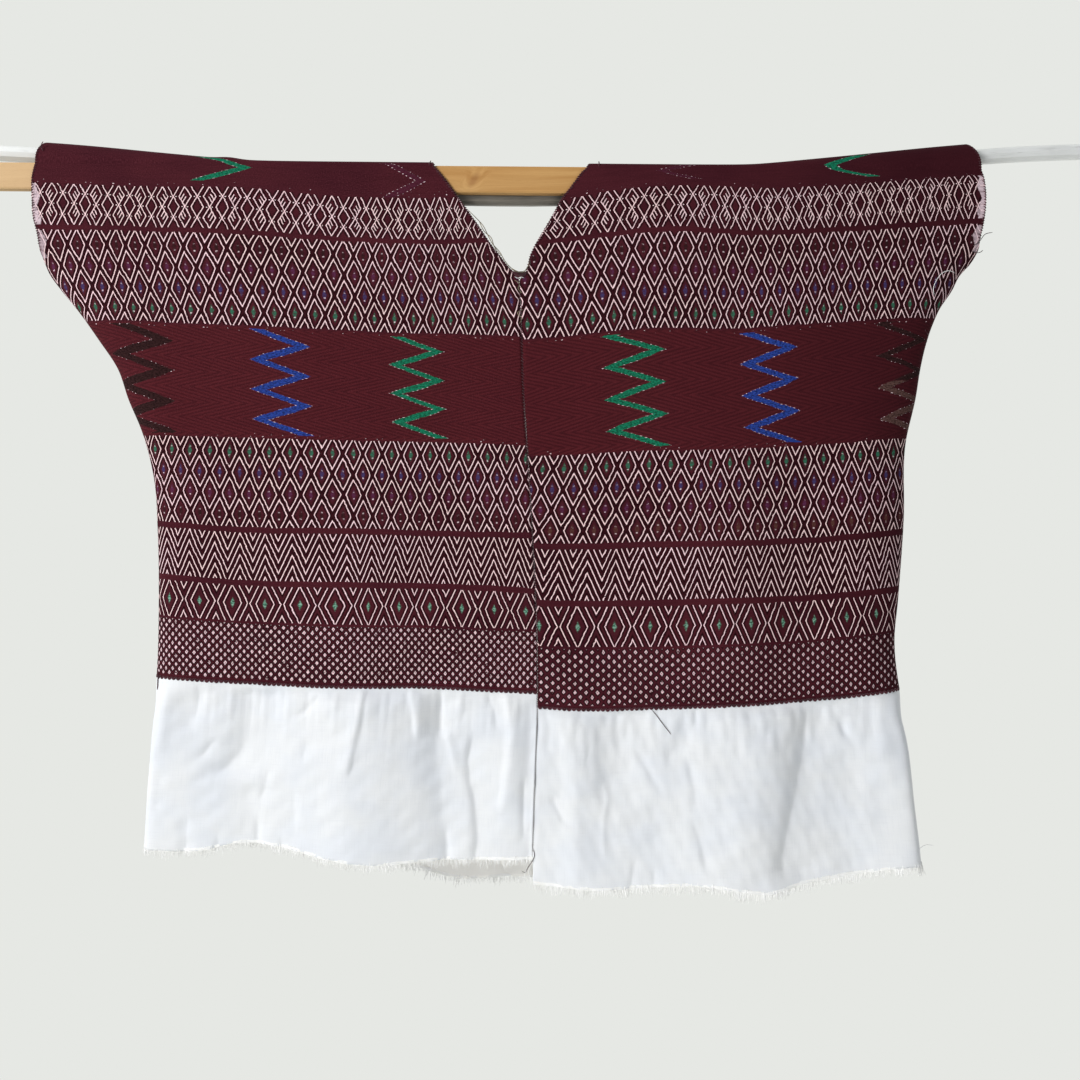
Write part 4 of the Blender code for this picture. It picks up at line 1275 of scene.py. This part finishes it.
# %% Grids of the tails
TAIL_ROWS, TUCK, ABOVE_HEM = 72, 1.6, STRAND_LONG + 0.3
TAIL_FLAT = {"front": 216, "back": 130}
TAIL_DRAWN_IN, DRAWN_OVER = {LEFT: 2.4, RIGHT: 5.2}, 30     # the hem's outer corners swing in
ROLL_POWERS, FLATTER_OVER = (2, 10), 40                     # below the seam the side lies flatter


def tail_grid(side, where):
    """Rows from the brocade's edge to the hem; each column keeps its share of the width."""
    edge, hem = lienzo_edges[side, where], HEMS[side, where]
    middle = np.array([float(TAIL_MIDDLE)])
    inner, outer = inner_edge(side, middle), outer_edge(side, middle)
    across, _ = columns_of(side, inner, outer, TAIL_FLAT[where])
    station = (across - inner) / (outer - inner)
    edge, hem = edge[np.argsort(edge[:, 0])], hem[np.argsort(hem[:, 1])]
    sewn = np.interp(across, edge[:, 0], -edge[:, 2])
    hem_at = follow(hem[:, 1], hem[:, 0], across)
    share = np.linspace(0, 1, TAIL_ROWS)[:, None]
    down = sewn + (hem_at - ABOVE_HEM - sewn) * share

    def across_at(down):
        swing = smooth_step((down - sewn) / DRAWN_OVER)
        rim = outer_edge(side, down) - side * TAIL_DRAWN_IN[side] * swing
        return inner_edge(side, down) * (1 - station) + rim * station, rim

    place, _ = across_at(down)
    top = np.interp(place, edge[:, 0], -edge[:, 2])
    down = down + (top - TUCK - down) * (1 - share) ** 6    # the top row is tucked in
    place, rim = across_at(down)
    rolled = np.clip(1 - np.abs(rim - place) / ROLL_WIDE, 0, 1)
    power = ROLL_POWERS[0] + ROLL_POWERS[1] * smooth_step((down - top) / FLATTER_OVER)
    y = wall_y(FACES[where], down, np.sqrt(1 - rolled**power), 1.0,
               cotton_folds(side, where, top, down, place))
    cloth = np.stack([np.broadcast_to(across, place.shape), down], -1)
    return np.stack([place, y, -down], -1), {"cloth": cloth}


# %% Hang the tails
tails = {}
for side, name in SIDE_NAMES.items():
    for where, face in FACES.items():
        points, maps = tail_grid(side, where)
        piece = cloth_shell(f"{name}_{where}_tail_cloth", points, np.ones(len(points)), face,
                            COTTON_THICK, COTTONS[where], maps)
        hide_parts(f"{name}_{where}_tail")
        tails[side, where] = (piece, points)

# %% [markdown]
# ## Threads
# Fringe, stitches and loose ends are all thin tubes. One function carries a small ring of corners
# along many paths at once, so a thousand threads are one mesh made by a few array sums.

# %% A bundle of tubes
def tubes(name, paths, radii, finish, corners=4):
    """paths is (threads, points, 3), and radii is one number or one for each thread and point.
    A ring is cos(turn) of one direction square to the path and sin(turn) of the other."""
    threads, count = paths.shape[:2]
    radii = np.broadcast_to(radii, (threads, count))
    along = np.gradient(paths, axis=1)
    along /= np.linalg.norm(along, axis=-1, keepdims=True) + 1e-9
    guide = np.where(np.abs(along[..., 1:2]) < 0.9, [0.0, 1.0, 0.0], [1.0, 0.0, 0.0])
    one = np.cross(along, guide)
    one /= np.linalg.norm(one, axis=-1, keepdims=True) + 1e-9
    two = np.cross(along, one)
    turn = np.arange(corners) * 2 * math.pi / corners
    ring = one[..., None, :] * np.cos(turn)[:, None] + two[..., None, :] * np.sin(turn)[:, None]
    vertices = paths[..., None, :] + ring * radii[..., None, None]
    index = np.arange(threads * count * corners).reshape(threads, count, corners)
    after = np.roll(index, -1, axis=2)
    walls = np.stack([index[:, :-1], after[:, :-1], after[:, 1:], index[:, 1:]], -1)
    walls = walls.reshape(-1, 4)
    if corners == 4:   # square ends are closed with one face each
        walls = np.concatenate([walls, index[:, 0, ::-1], index[:, -1]])
    return new_mesh(name, vertices.reshape(-1, 3), walls, finish)


# %% Paths for short threads
SHORT_ENDS = np.array([0.5, 1, 1, 1, 0.5])      # a stitch is thin where it dips into the cloth


def swept(start, end, sag, count):
    """Short arcs: straight from start to end, pushed by 4 t (1 - t) of `sag`."""
    t = np.linspace(0, 1, count)[None, :, None]
    return start[:, None] * (1 - t) + end[:, None] * t + sag[:, None] * (4 * t * (1 - t))


def run_of(points):
    """Length along a polyline at each of its points."""
    return np.concatenate([[0], np.cumsum(np.linalg.norm(np.diff(points, axis=0), axis=1))])


def along_curve(points, step):
    """Even places along a polyline, and its direction there."""
    run = run_of(points)
    at = np.arange(step / 2, run[-1], step)
    place = np.stack([np.interp(at, run, points[:, k]) for k in range(3)], -1)
    ahead = np.stack([np.interp(at + 0.5, run, points[:, k]) for k in range(3)], -1)
    way = ahead - place
    return place, way / (np.linalg.norm(way, axis=1, keepdims=True) + 1e-9)


# %% [markdown]
# ## The raw hem
# The hem was torn along a thread and never turned up, so the warps stand out of it as a short
# fringe. Threads of uneven length start inside the cloth, hang in small groups, and bend a little.

# %% Paths of the fringe
FRINGE_STEP, SCATTER = 0.58, [1.6, 1.4, 0.5]
FRINGE_FULL, FRINGE_LIMITS = {LEFT: 3.2, RIGHT: 4.6}, (1.4, 9.0)
TUFT_LONG, TUFT_AT, TUFT_WIDE = 1.5, 196, 16        # one longer tuft on the right
HEM_THREADS, HEM_RADIUS = np.arange(3)[:, None], 0.62


def fringe_paths(side, face, hem, seed):
    """Threads from 3 mm above the hem. Their length is a full length, plus two sines that make
    clumps of them, plus a chance part."""
    draw = np.random.default_rng(100 + seed)
    root, _ = along_curve(hem, FRINGE_STEP)
    root = root + draw.normal(0, 0.16, root.shape) * SCATTER
    across, count = root[:, 0], len(root)
    clump = np.sin(across / 3.1 + seed) + np.sin(across / 7.7 + 2 * seed)
    tuft = TUFT_LONG * np.exp(-(((across - TUFT_AT) / TUFT_WIDE) ** 2)) * (side == RIGHT)
    long = FRINGE_FULL[side] + 0.9 * clump + draw.gamma(2.0, 0.9, count) + tuft
    long = np.clip(long, *FRINGE_LIMITS)
    lean = draw.normal(0, 0.16, count) + 0.22 * np.sin(across / 5.2 + seed)
    end = root + np.stack([lean * long, draw.normal(0, 0.10, count) * long, -long], -1)
    sag = np.stack([draw.normal(0, 0.28, count), face * np.abs(draw.normal(0, 0.2, count)),
                    np.zeros(count)], -1)
    radii = draw.uniform(0.17, 0.30, count)[:, None] * np.array([1, 1, 1, 0.85, 0.4])
    return swept(root + np.array([0, 0, 3.0]), end, sag, 5), radii


def hem_threads(hem):
    """Three loosened crosswise threads that hold the roots, each on a small sine of its own."""
    paths = hem[None, ::3] + np.array([0, 0, 1.0]) * (0.1 + 0.8 * HEM_THREADS[..., None])
    paths[..., 2] += 0.25 * np.sin(paths[..., 0] / 2.3 + HEM_THREADS)
    return paths


# %% Fray the four hems
def fringe(side, where, seed):
    """The fringe and the hem threads of one tail, as two pieces."""
    name, hem = f"{SIDE_NAMES[side]}_{where}", tails[side, where][1][-1]
    paths, radii = fringe_paths(side, FACES[where], hem, seed)
    piece = tubes(f"{name}_fringe", paths, radii, WHITE_YARN)
    cross = tubes(f"{name}_hem_threads", hem_threads(hem), HEM_RADIUS, WHITE_YARN, 6)
    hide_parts(f"{name}_fray")
    return piece, cross


fringes = {key: fringe(*key, 11 + 3 * k) for k, key in enumerate(tails)}
print("fringe threads:", sum(len(f.data.vertices) // 20 for f, _ in fringes.values()))

# %% [markdown]
# ## The scalloped edge
# At the end of the brocade the coloured wefts turn back, and each turn is a small loop that stands
# over the white cloth. Every loop is a short fat arc of yarn, laid side by side along the edge.

# %% Loops along the brocade's edge
LOOP_STEP, LOOP_HALF, LOOP_RADIUS = 4.1, 1.75, 0.95
LOOP_FAT = np.array([0.7, 0.95, 1.05, 1.1, 1.05, 0.95, 0.7])


def scallops(side, where):
    """Each loop hangs 1.5 to 2.1 mm between two places on the edge, and stands off the cloth."""
    face = FACES[where]
    place, way = along_curve(lienzo_edges[side, where][:-2], LOOP_STEP)
    draw = np.random.default_rng(90 + side + 5 * face)
    reach = draw.uniform(1.5, 2.1, len(place))
    start, end = (place + way * half + [0, face * 0.5, 1.0] for half in (-LOOP_HALF, LOOP_HALF))
    sag = np.stack([0 * reach, face * 0.3 + 0 * reach, -reach], -1)
    return tubes(f"{SIDE_NAMES[side]}_{where}_scallops", swept(start, end, sag, 7),
                 LOOP_RADIUS * LOOP_FAT, WINE_YARN)


for side in SIDE_NAMES:
    for where in FACES:
        loops = scallops(side, where)
        print(loops.name, "loops:", len(loops.data.vertices) // 28)

# %% [markdown]
# ## Sewing
# The lienzos are joined edge to edge with a close overcast stitch. The sleeve mouths and the neck
# are raw edges, oversewn so that they don't run. Each stitch is a short arc round the edge, and no
# two are quite alike.

# %% Overcast stitches round the sleeve mouths and the neck
OVERCAST_REACH, OVERCAST_RADIUS = 1.9, 0.42
MOUTH_ROWS, NECK_ROWS = 37, 42          # rows each way from the shoulder's fold


def overcast(name, edge, inward, step, seed):
    """Stitches over an open edge: in at the front, round the edge, and out at the back. inward
    is the way across into the cloth, 1 or -1."""
    draw = np.random.default_rng(100 + seed)
    place, way = along_curve(edge, step)
    count = len(place)
    into, off = np.array([inward, 0.0, 0.0]), np.array([0, BROCADE_THICK / 2 + 0.25, 0])
    deep = OVERCAST_REACH * draw.uniform(0.75, 1.3, count)[:, None]
    slant = way * draw.uniform(0.4, 1.3, count)[:, None]
    tip = place - into * draw.uniform(0.15, 0.6, count)[:, None]
    corner = place - into * 0.15
    front, back = place + into * deep - off + slant, place + into * deep + off - slant
    paths = np.stack([front, (front + corner) / 2 - off * 0.5, corner - off * 0.55, tip,
                      corner + off * 0.55, (back + corner) / 2 + off * 0.5, back], 1)
    piece = tubes(name, paths, OVERCAST_RADIUS * np.array([0.5, 1, 1, 1, 1, 1, 0.5]), WINE_YARN)
    print(name, "stitches:", count)


for side, name in SIDE_NAMES.items():
    points = lienzos[side][1]
    from_fold = np.abs(np.arange(len(points)) - len(points) / 2)
    overcast(f"{name}_sleeve_overcast", points[from_fold < MOUTH_ROWS, -1], inward=-side,
             step=2.2, seed=3 + side)
    overcast(f"{name}_neck_overcast", points[from_fold < NECK_ROWS, 0], inward=side,
             step=2.3, seed=13 + side)


# %% Stitches of the side seams
def seam_stitches(name, front_edge, back_edge, step, reach, radius, seed, finish):
    """Stitches that cross a closed side seam from the front wall to the back wall."""
    draw = np.random.default_rng(100 + seed)
    place, way = along_curve((front_edge + back_edge) / 2, step)
    count = len(place)
    inward = np.array([-np.sign(place[0, 0]), 0, 0])
    deep = reach * draw.uniform(0.8, 1.3, count)[:, None]
    slant = way * draw.uniform(0.5, 1.4, count)[:, None]
    front = place + inward * deep + [0, -2.2, 0] + slant
    back = place + inward * deep + [0, 2.2, 0] - slant
    tip = place - inward * draw.uniform(0.1, 0.5, count)[:, None]
    paths = np.stack([front, (front + tip) / 2 + [0, -0.5, 0] - inward * 0.2, tip,
                      (back + tip) / 2 + [0, 0.5, 0] - inward * 0.2, back], 1)
    print(name, "stitches:", count)
    return tubes(name, paths, radius * SHORT_ENDS, finish)


# %% Places on a cloth, and the stitches of the centre seam
def lie_on(cloud, across, down, lift):
    """Places on a cloth: the nearest of its grid points gives the depth, and lift is added."""
    spots = np.stack([across, -np.asarray(down, float)], -1)
    nearest = [np.argmin(((cloud[:, [0, 2]] - spot) ** 2).sum(1)) for spot in spots]
    return np.stack([spots[:, 0], cloud[nearest, 1] + lift, spots[:, 1]], -1)


def centre_stitches(name, cloud, down, face, step, finish, radius, seed, wide):
    """A row of small slanting stitches over the centre seam on one face."""
    draw = np.random.default_rng(100 + seed)
    across = follow(CENTRE_SEAM[:, 0], CENTRE_SEAM[:, 1], down)
    place, _ = along_curve(lie_on(cloud, across, down, face * 0.75), step)
    count = len(place)
    half = np.array([1, 0, -0.9]) * draw.uniform(0.7, 1.2, count)[:, None] * wide
    sag = np.stack([np.zeros(count), np.full(count, face * 0.45), np.zeros(count)], -1)
    piece = tubes(name, swept(place - half, place + half, sag, 5), radius * SHORT_ENDS, finish)
    print(name, "stitches:", count)


# %% Sew the sides
SEWN_FROM = 78                          # the side seam begins this far down
for side, name in SIDE_NAMES.items():
    points = lienzos[side][1]
    front_edge, back_edge = points[:FACE_ROWS, -1], points[::-1][:FACE_ROWS, -1]
    sewn = -front_edge[:, 2] > SEWN_FROM
    piece = seam_stitches(f"{name}_side_overcast", front_edge[sewn][::-1], back_edge[sewn][::-1],
                          step=3.1, reach=1.6, radius=0.36, seed=23 + side, finish=WINE_YARN)
    tail_front, tail_back = tails[side, "front"][1][2:-2, -1], tails[side, "back"][1][2:-2, -1]
    piece = seam_stitches(f"{name}_tail_overcast", tail_front, tail_back,
                          step=3.6, reach=1.4, radius=0.28, seed=33 + side, finish=WHITE_YARN)

# %% Sew the centre
face_rows = {"front": slice(FACE_ROWS), "back": slice(-FACE_ROWS, None)}
webs = {where: np.concatenate([points[rows].reshape(-1, 3) for _, points in lienzos.values()])
        for where, rows in face_rows.items()}
skirts = {where: np.concatenate([tails[side, where][1].reshape(-1, 3) for side in SIDE_NAMES])
          for where in FACES}
for where, face in FACES.items():
    centre_stitches(f"{where}_centre_stitches", webs[where], np.linspace(84, 440, 200), face,
                    step=2.6, finish=WINE_YARN, radius=0.36, seed=41 + face, wide=1.0)
    centre_stitches(f"{where}_tail_stitches", skirts[where], np.linspace(440, 572, 80), face,
                    step=1.9, finish=DARK_YARN, radius=0.26, seed=44 + face, wide=0.75)

# %% [markdown]
# ## Loose ends
# Handwork leaves ends: a beige basting thread along the neck, a few tails of yarn at the armhole,
# and fibres that worked out of the hem. Each is a thin tube through marks, set on the nearest
# cloth.

# %% Tables of the loose threads
# Each mark: across, down, and how far the thread stands off the cloth.
NECK_THREADS = [
    [(-44, 26, 0.9), (-36.6, 33.5, 1.3), (-30.2, 40.8, 1.8), (-26.6, 48, 1.4), (-22, 56.4, 1.1),
     (-16.3, 62.8, 1.5), (-12.2, 70.0, 1.2), (-5.8, 77.2, 1.4), (0.8, 80.0, 1.5), (6.0, 78.6, 1.1)],
    [(-34, 36, 0.8), (-29, 46, 2.2), (-23.5, 51, 2.4), (-21, 58, 1.2), (-15, 66, 1.0)],
    [(-9, 74, 1.0), (-3, 79.5, 1.6), (3.5, 80.4, 1.5), (7.5, 75.5, 1.0), (10, 70, 0.8)],
    [(-3.5, 87, 1.0), (0.5, 90, 1.3), (-0.5, 94, 1.2), (2.5, 98, 1.0)],
    [(3.5, 112, 1.0), (-1.0, 115, 1.3), (2.5, 120, 1.2), (0.5, 124, 1.0)]]
DARK_THREADS = [
    [(386.5, 57.5, 0.8), (390.5, 55.1, 1.2), (397.1, 47.5, 2.0), (402.6, 46.3, 2.4)],
    [(385.5, 61.5, 0.8), (388.8, 62.6, 1.2), (393.0, 62.6, 1.8), (395.5, 60.9, 2.2)],
    [(112.9, 451.8, 0.9), (117.5, 457.4, 1.3), (121, 462.2, 1.5), (128.8, 472.2, 1.4)],
    [(11.5, 566, 0.8), (13.3, 575, 1.0), (7.8, 585.4, 1.4), (5.1, 589.4, 1.6), (2.4, 588.1, 1.4)]]
WINE_THREADS = [
    [(-405.5, -24.0, 0.8), (-406.6, -28.5, 1.2), (-405.0, -31.5, 1.4)],
    [(-308.4, 420.0, 0.9), (-308.8, 428.0, 1.2), (-308.6, 435.5, 1.2)],
    [(-76.6, -10.6, 0.4), (-75.8, -13.4, 0.7), (-75.0, -15.4, 0.9)],
    [(68.0, -9.8, 0.4), (68.4, -12.6, 0.7), (68.1, -14.8, 0.9)],
    [(347, 128, 0.8), (351, 133, 1.2), (350, 138, 1.6)]]
PALE_THREADS = [
    [(-3.5, 84.0, 1.0), (-1.0, 85.4, 1.6), (2.0, 84.6, 1.7), (4.5, 85.2, 1.2)],
    [(353.9, 99.5, 0.9), (352.8, 93.6, 1.1), (355.3, 87, 1.2), (360.3, 80.6, 1.2), (367, 78.2, 1.1),
     (374.6, 80.2, 0.9)],
    [(341.5, 582, 0.8), (343.1, 577.6, 1.2), (345.9, 572.9, 2.2), (350.6, 570.1, 3.0),
     (356.5, 570.6, 3.4)],
    [(10, 583, 0.9), (8.5, 590, 1.4), (10.5, 596, 1.6), (9.2, 603, 1.6)],
    [(4, 578, 0.9), (6.5, 586, 1.4), (4.5, 594, 1.8), (7, 600, 1.6)]]
lengths = [run_of(np.array(marks))[-1]
           for marks in NECK_THREADS + DARK_THREADS + WINE_THREADS + PALE_THREADS]
print("loose threads:", len(lengths), "longest:", round(max(lengths)), "mm")


# %% Loose threads
THREAD_POINTS = 25
THREAD_TAPER = np.concatenate([np.linspace(0.5, 1, 4), np.ones(17), np.linspace(1, 0.5, 4)])


def loose(name, threads, radius, finish):
    """Each thread runs smoothly through its marks, at a steady pace between them. The mean of
    three neighbours takes the steps of the cloth's grid out of it."""
    cloud = np.concatenate([webs["front"], skirts["front"]])
    paths = []
    for marks in map(np.array, threads):
        run = run_of(marks)
        at = np.linspace(0, run[-1], THREAD_POINTS)
        across, down, off = (follow(run, column, at) for column in marks.T)
        paths.append(lie_on(cloud, across, down, -off))
    paths = np.array(paths)
    paths[:, 1:-1, 1] = (paths[:, :-2, 1] + paths[:, 1:-1, 1] + paths[:, 2:, 1]) / 3
    tubes(name, paths, radius * THREAD_TAPER, finish)
    print(name, "threads:", len(paths))


loose("neck_basting", NECK_THREADS, radius=0.32, finish=FLAX_YARN)
loose("dark_ends", DARK_THREADS, radius=0.30, finish=DARK_YARN)
loose("wine_ends", WINE_THREADS, radius=0.45, finish=WINE_YARN)
loose("pale_ends", PALE_THREADS, radius=0.26, finish=WHITE_YARN)

# %% The bar of stitches at the foot of the neck
bar_down = np.array([79.6, 80.6, 81.6, 82.6, 83.6])
left_end = lie_on(webs["front"], inner_edge(LEFT, bar_down) - 1.2, bar_down, -0.9)
right_end = lie_on(webs["front"], inner_edge(RIGHT, bar_down) + 1.2, bar_down + 0.5, -0.9)
bar = swept(left_end, right_end, np.tile([0.0, -0.4, -0.5], (len(bar_down), 1)), 7)
tubes("neck_bar", bar, 0.55, WINE_YARN)
print("neck bar:", len(bar), "stitches")

# %% [markdown]
# A lienzo is one web folded at the shoulder with the neck notched out. A tail is a rectangle of
# plain cotton sewn on below the brocade, and its fringe hangs from its hem.

# %% Go over each tail's fringe and hem threads
for side in SIDE_NAMES:
    for where in FACES:
        list(fringes[side, where])

# %% [markdown]
# ## The slat and the rod
# The bars keep their CAD shapes. The slat is planed pine with a straight grain along its length and
# one knot in the neck opening; the rod is a white plastic tube.

# %% Pine
KNOT_LEFT, KNOT_LOW = 0.0385, 0.0003     # metres left of the middle, and below it


def pine():
    """The knot is an ellipse, far = sqrt(0.8 lean^2 + 0.3 knot_z^2) in millimetres, and the grain
    bends round it."""
    m = Finish("pine")
    x, y, z = m.parts(m.place(), 3)
    knot_x, knot_z = (x + KNOT_LEFT) * 1000.0, (z + KNOT_LOW) * 1000.0
    lean = knot_x - knot_z * 0.5
    far = m.maths("SQRT", lean * lean * 0.8 + knot_z * knot_z * 0.30)
    bend = m.rise(far, 12.0, 0.0) * 1.6
    drift = m.noise(m.point(x * 5.0, y * 30.0, z * 30.0), 1.0, 2.0)
    grain = m.noise(m.point(x * 7.0, y * 900.0 + bend, z * 300.0 + bend + drift * 5.0), 1.0, 3.0)
    pores = m.noise(m.point(x * 160.0, y * 2600.0, z * 2600.0), 1.0, 2.0)
    colour = m.mix(m.rise(grain, 0.30, 0.72), srgb(200, 154, 94), srgb(180, 130, 70))
    colour = m.mix(m.rise(drift, 0.4, 0.75) * 0.5, colour, srgb(206, 164, 106))
    colour = m.mix(m.rise(x, -0.30, -0.42) * 0.7, colour, srgb(206, 176, 134))
    colour = m.mix(m.rise(pores, 0.55, 0.8) * 0.25, colour, srgb(150, 100, 52))
    colour = m.mix(m.rise(far, 4.6, 1.0) * 0.5, colour, srgb(140, 86, 40))
    m.bump(grain * 0.6 + pores * 0.4, 0.0003, 0.3)
    m.set(Base_Color=colour, Roughness=0.55 + grain * 0.15, Specular_IOR_Level=0.35)
    return m.material


# %% Plastic, and both finishes put on the bars
def plastic():
    """Dust and scuffs all along; painted grey inside the neck, the shade of slat and cloth."""
    m = Finish("white_plastic_tube")
    where = m.place()
    x, y, z = m.parts(where, 3)
    scuff = m.noise(m.point(x * 60.0, y * 500.0, z * 500.0), 1.0, 3.0)
    dust = m.noise(where, 22.0, 3.0)
    colour = m.mix(m.rise(dust, 0.4, 0.75) * 0.5, srgb(234, 236, 235), srgb(214, 216, 213))
    colour = m.mix(m.rise(scuff, 0.58, 0.75) * 0.35, colour, srgb(186, 187, 184))
    # Painted shade: the middle of the rod, inside the neck, lies in the shade of the slat and the
    # cloth, so it is coloured dark grey.
    in_neck_shade = m.rise(m.size(x), 0.115, 0.085)
    neck_shade_grey = m.mix(m.rise(scuff, 0.3, 0.7), srgb(130, 122, 108), srgb(104, 97, 84))
    colour = m.mix(in_neck_shade * 0.9, colour, neck_shade_grey)
    m.bump(scuff, 0.0002, 0.2)
    m.set(Base_Color=colour, Roughness=0.3 + scuff * 0.2, Specular_IOR_Level=0.45)
    return m.material


for node, finish in (("wooden_bar", pine()), ("white_rod", plastic())):
    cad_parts[node].data.materials.clear()
    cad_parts[node].data.materials.append(finish)
    print(node, "is", finish.name)

# %% [markdown]
# ## Floor and light
# The studio is pale all round and a little darker behind the camera, so that one large soft light,
# high on the left, can model the folds. A second one does the same for the back of the blouse.

# %% The floor
FLOOR_HALF, FLOOR_LOW = 0.75, -1.20


def stage_floor():
    """One speckled square well below the hem."""
    m = Finish("studio_floor")
    speckle = m.noise(m.place(), 40.0, 3.0)
    m.set(Base_Color=m.mix(speckle * 0.3, srgb(226, 227, 220), srgb(216, 217, 210)), Roughness=0.9)
    corners = [(-1, -1), (1, -1), (1, 1), (-1, 1)]
    mesh = bpy.data.meshes.new("floor")
    mesh.from_pydata([(x * FLOOR_HALF, y * FLOOR_HALF, FLOOR_LOW) for x, y in corners], [],
                     [(0, 1, 2, 3)])
    mesh.materials.append(m.material)
    floor = bpy.data.objects.new("floor", mesh)
    bpy.context.scene.collection.objects.link(floor)


# %% Lamps and sky
def area_light(name, place, towards, size, power, colour):
    """A round lamp: tipped from straight down by acos(-z), and turned to its heading."""
    light = bpy.data.lights.new(name, "AREA")
    light.shape, light.size, light.energy, light.color = "DISK", size, power, colour
    lamp = bpy.data.objects.new(name, light)
    lamp.location = place
    way = np.array(towards) - np.array(place)
    lamp.rotation_euler = (math.acos(-way[2] / np.linalg.norm(way)), 0,
                           math.atan2(way[1], way[0]) - math.pi / 2)
    bpy.context.scene.collection.objects.link(lamp)


def studio_sky():
    """The sky of the studio: pale ahead of the camera, and dimmer on the lamp's side."""
    world = bpy.data.worlds.new("studio")
    bpy.context.scene.world = world
    m = Sums(world)
    _, y = m.parts(m.node("ShaderNodeTexCoord"), 2)
    colour = m.mix(m.rise(y, -0.3, 0.3), srgb(164, 166, 167), srgb(230, 232, 228))
    m.feed(m.tree.nodes["Background"].inputs["Color"], colour)


stage_floor()
area_light("window", (-1.9, -1.45, 0.7), towards=(0.0, 0.0, -0.3), size=1.0, power=54.0,
           colour=(1.0, 0.995, 0.99))
area_light("bounce", (0.0, -0.75, -1.16), towards=(0.0, 0.0, -0.5), size=0.5, power=3.8,
           colour=(1.0, 0.99, 0.985))
area_light("behind", (1.8, 1.6, 0.9), towards=(0.0, 0.0, -0.3), size=1.2, power=14.0,
           colour=(1.0, 0.99, 0.97))
studio_sky()
print("lamps:", [light.name for light in bpy.data.lights])
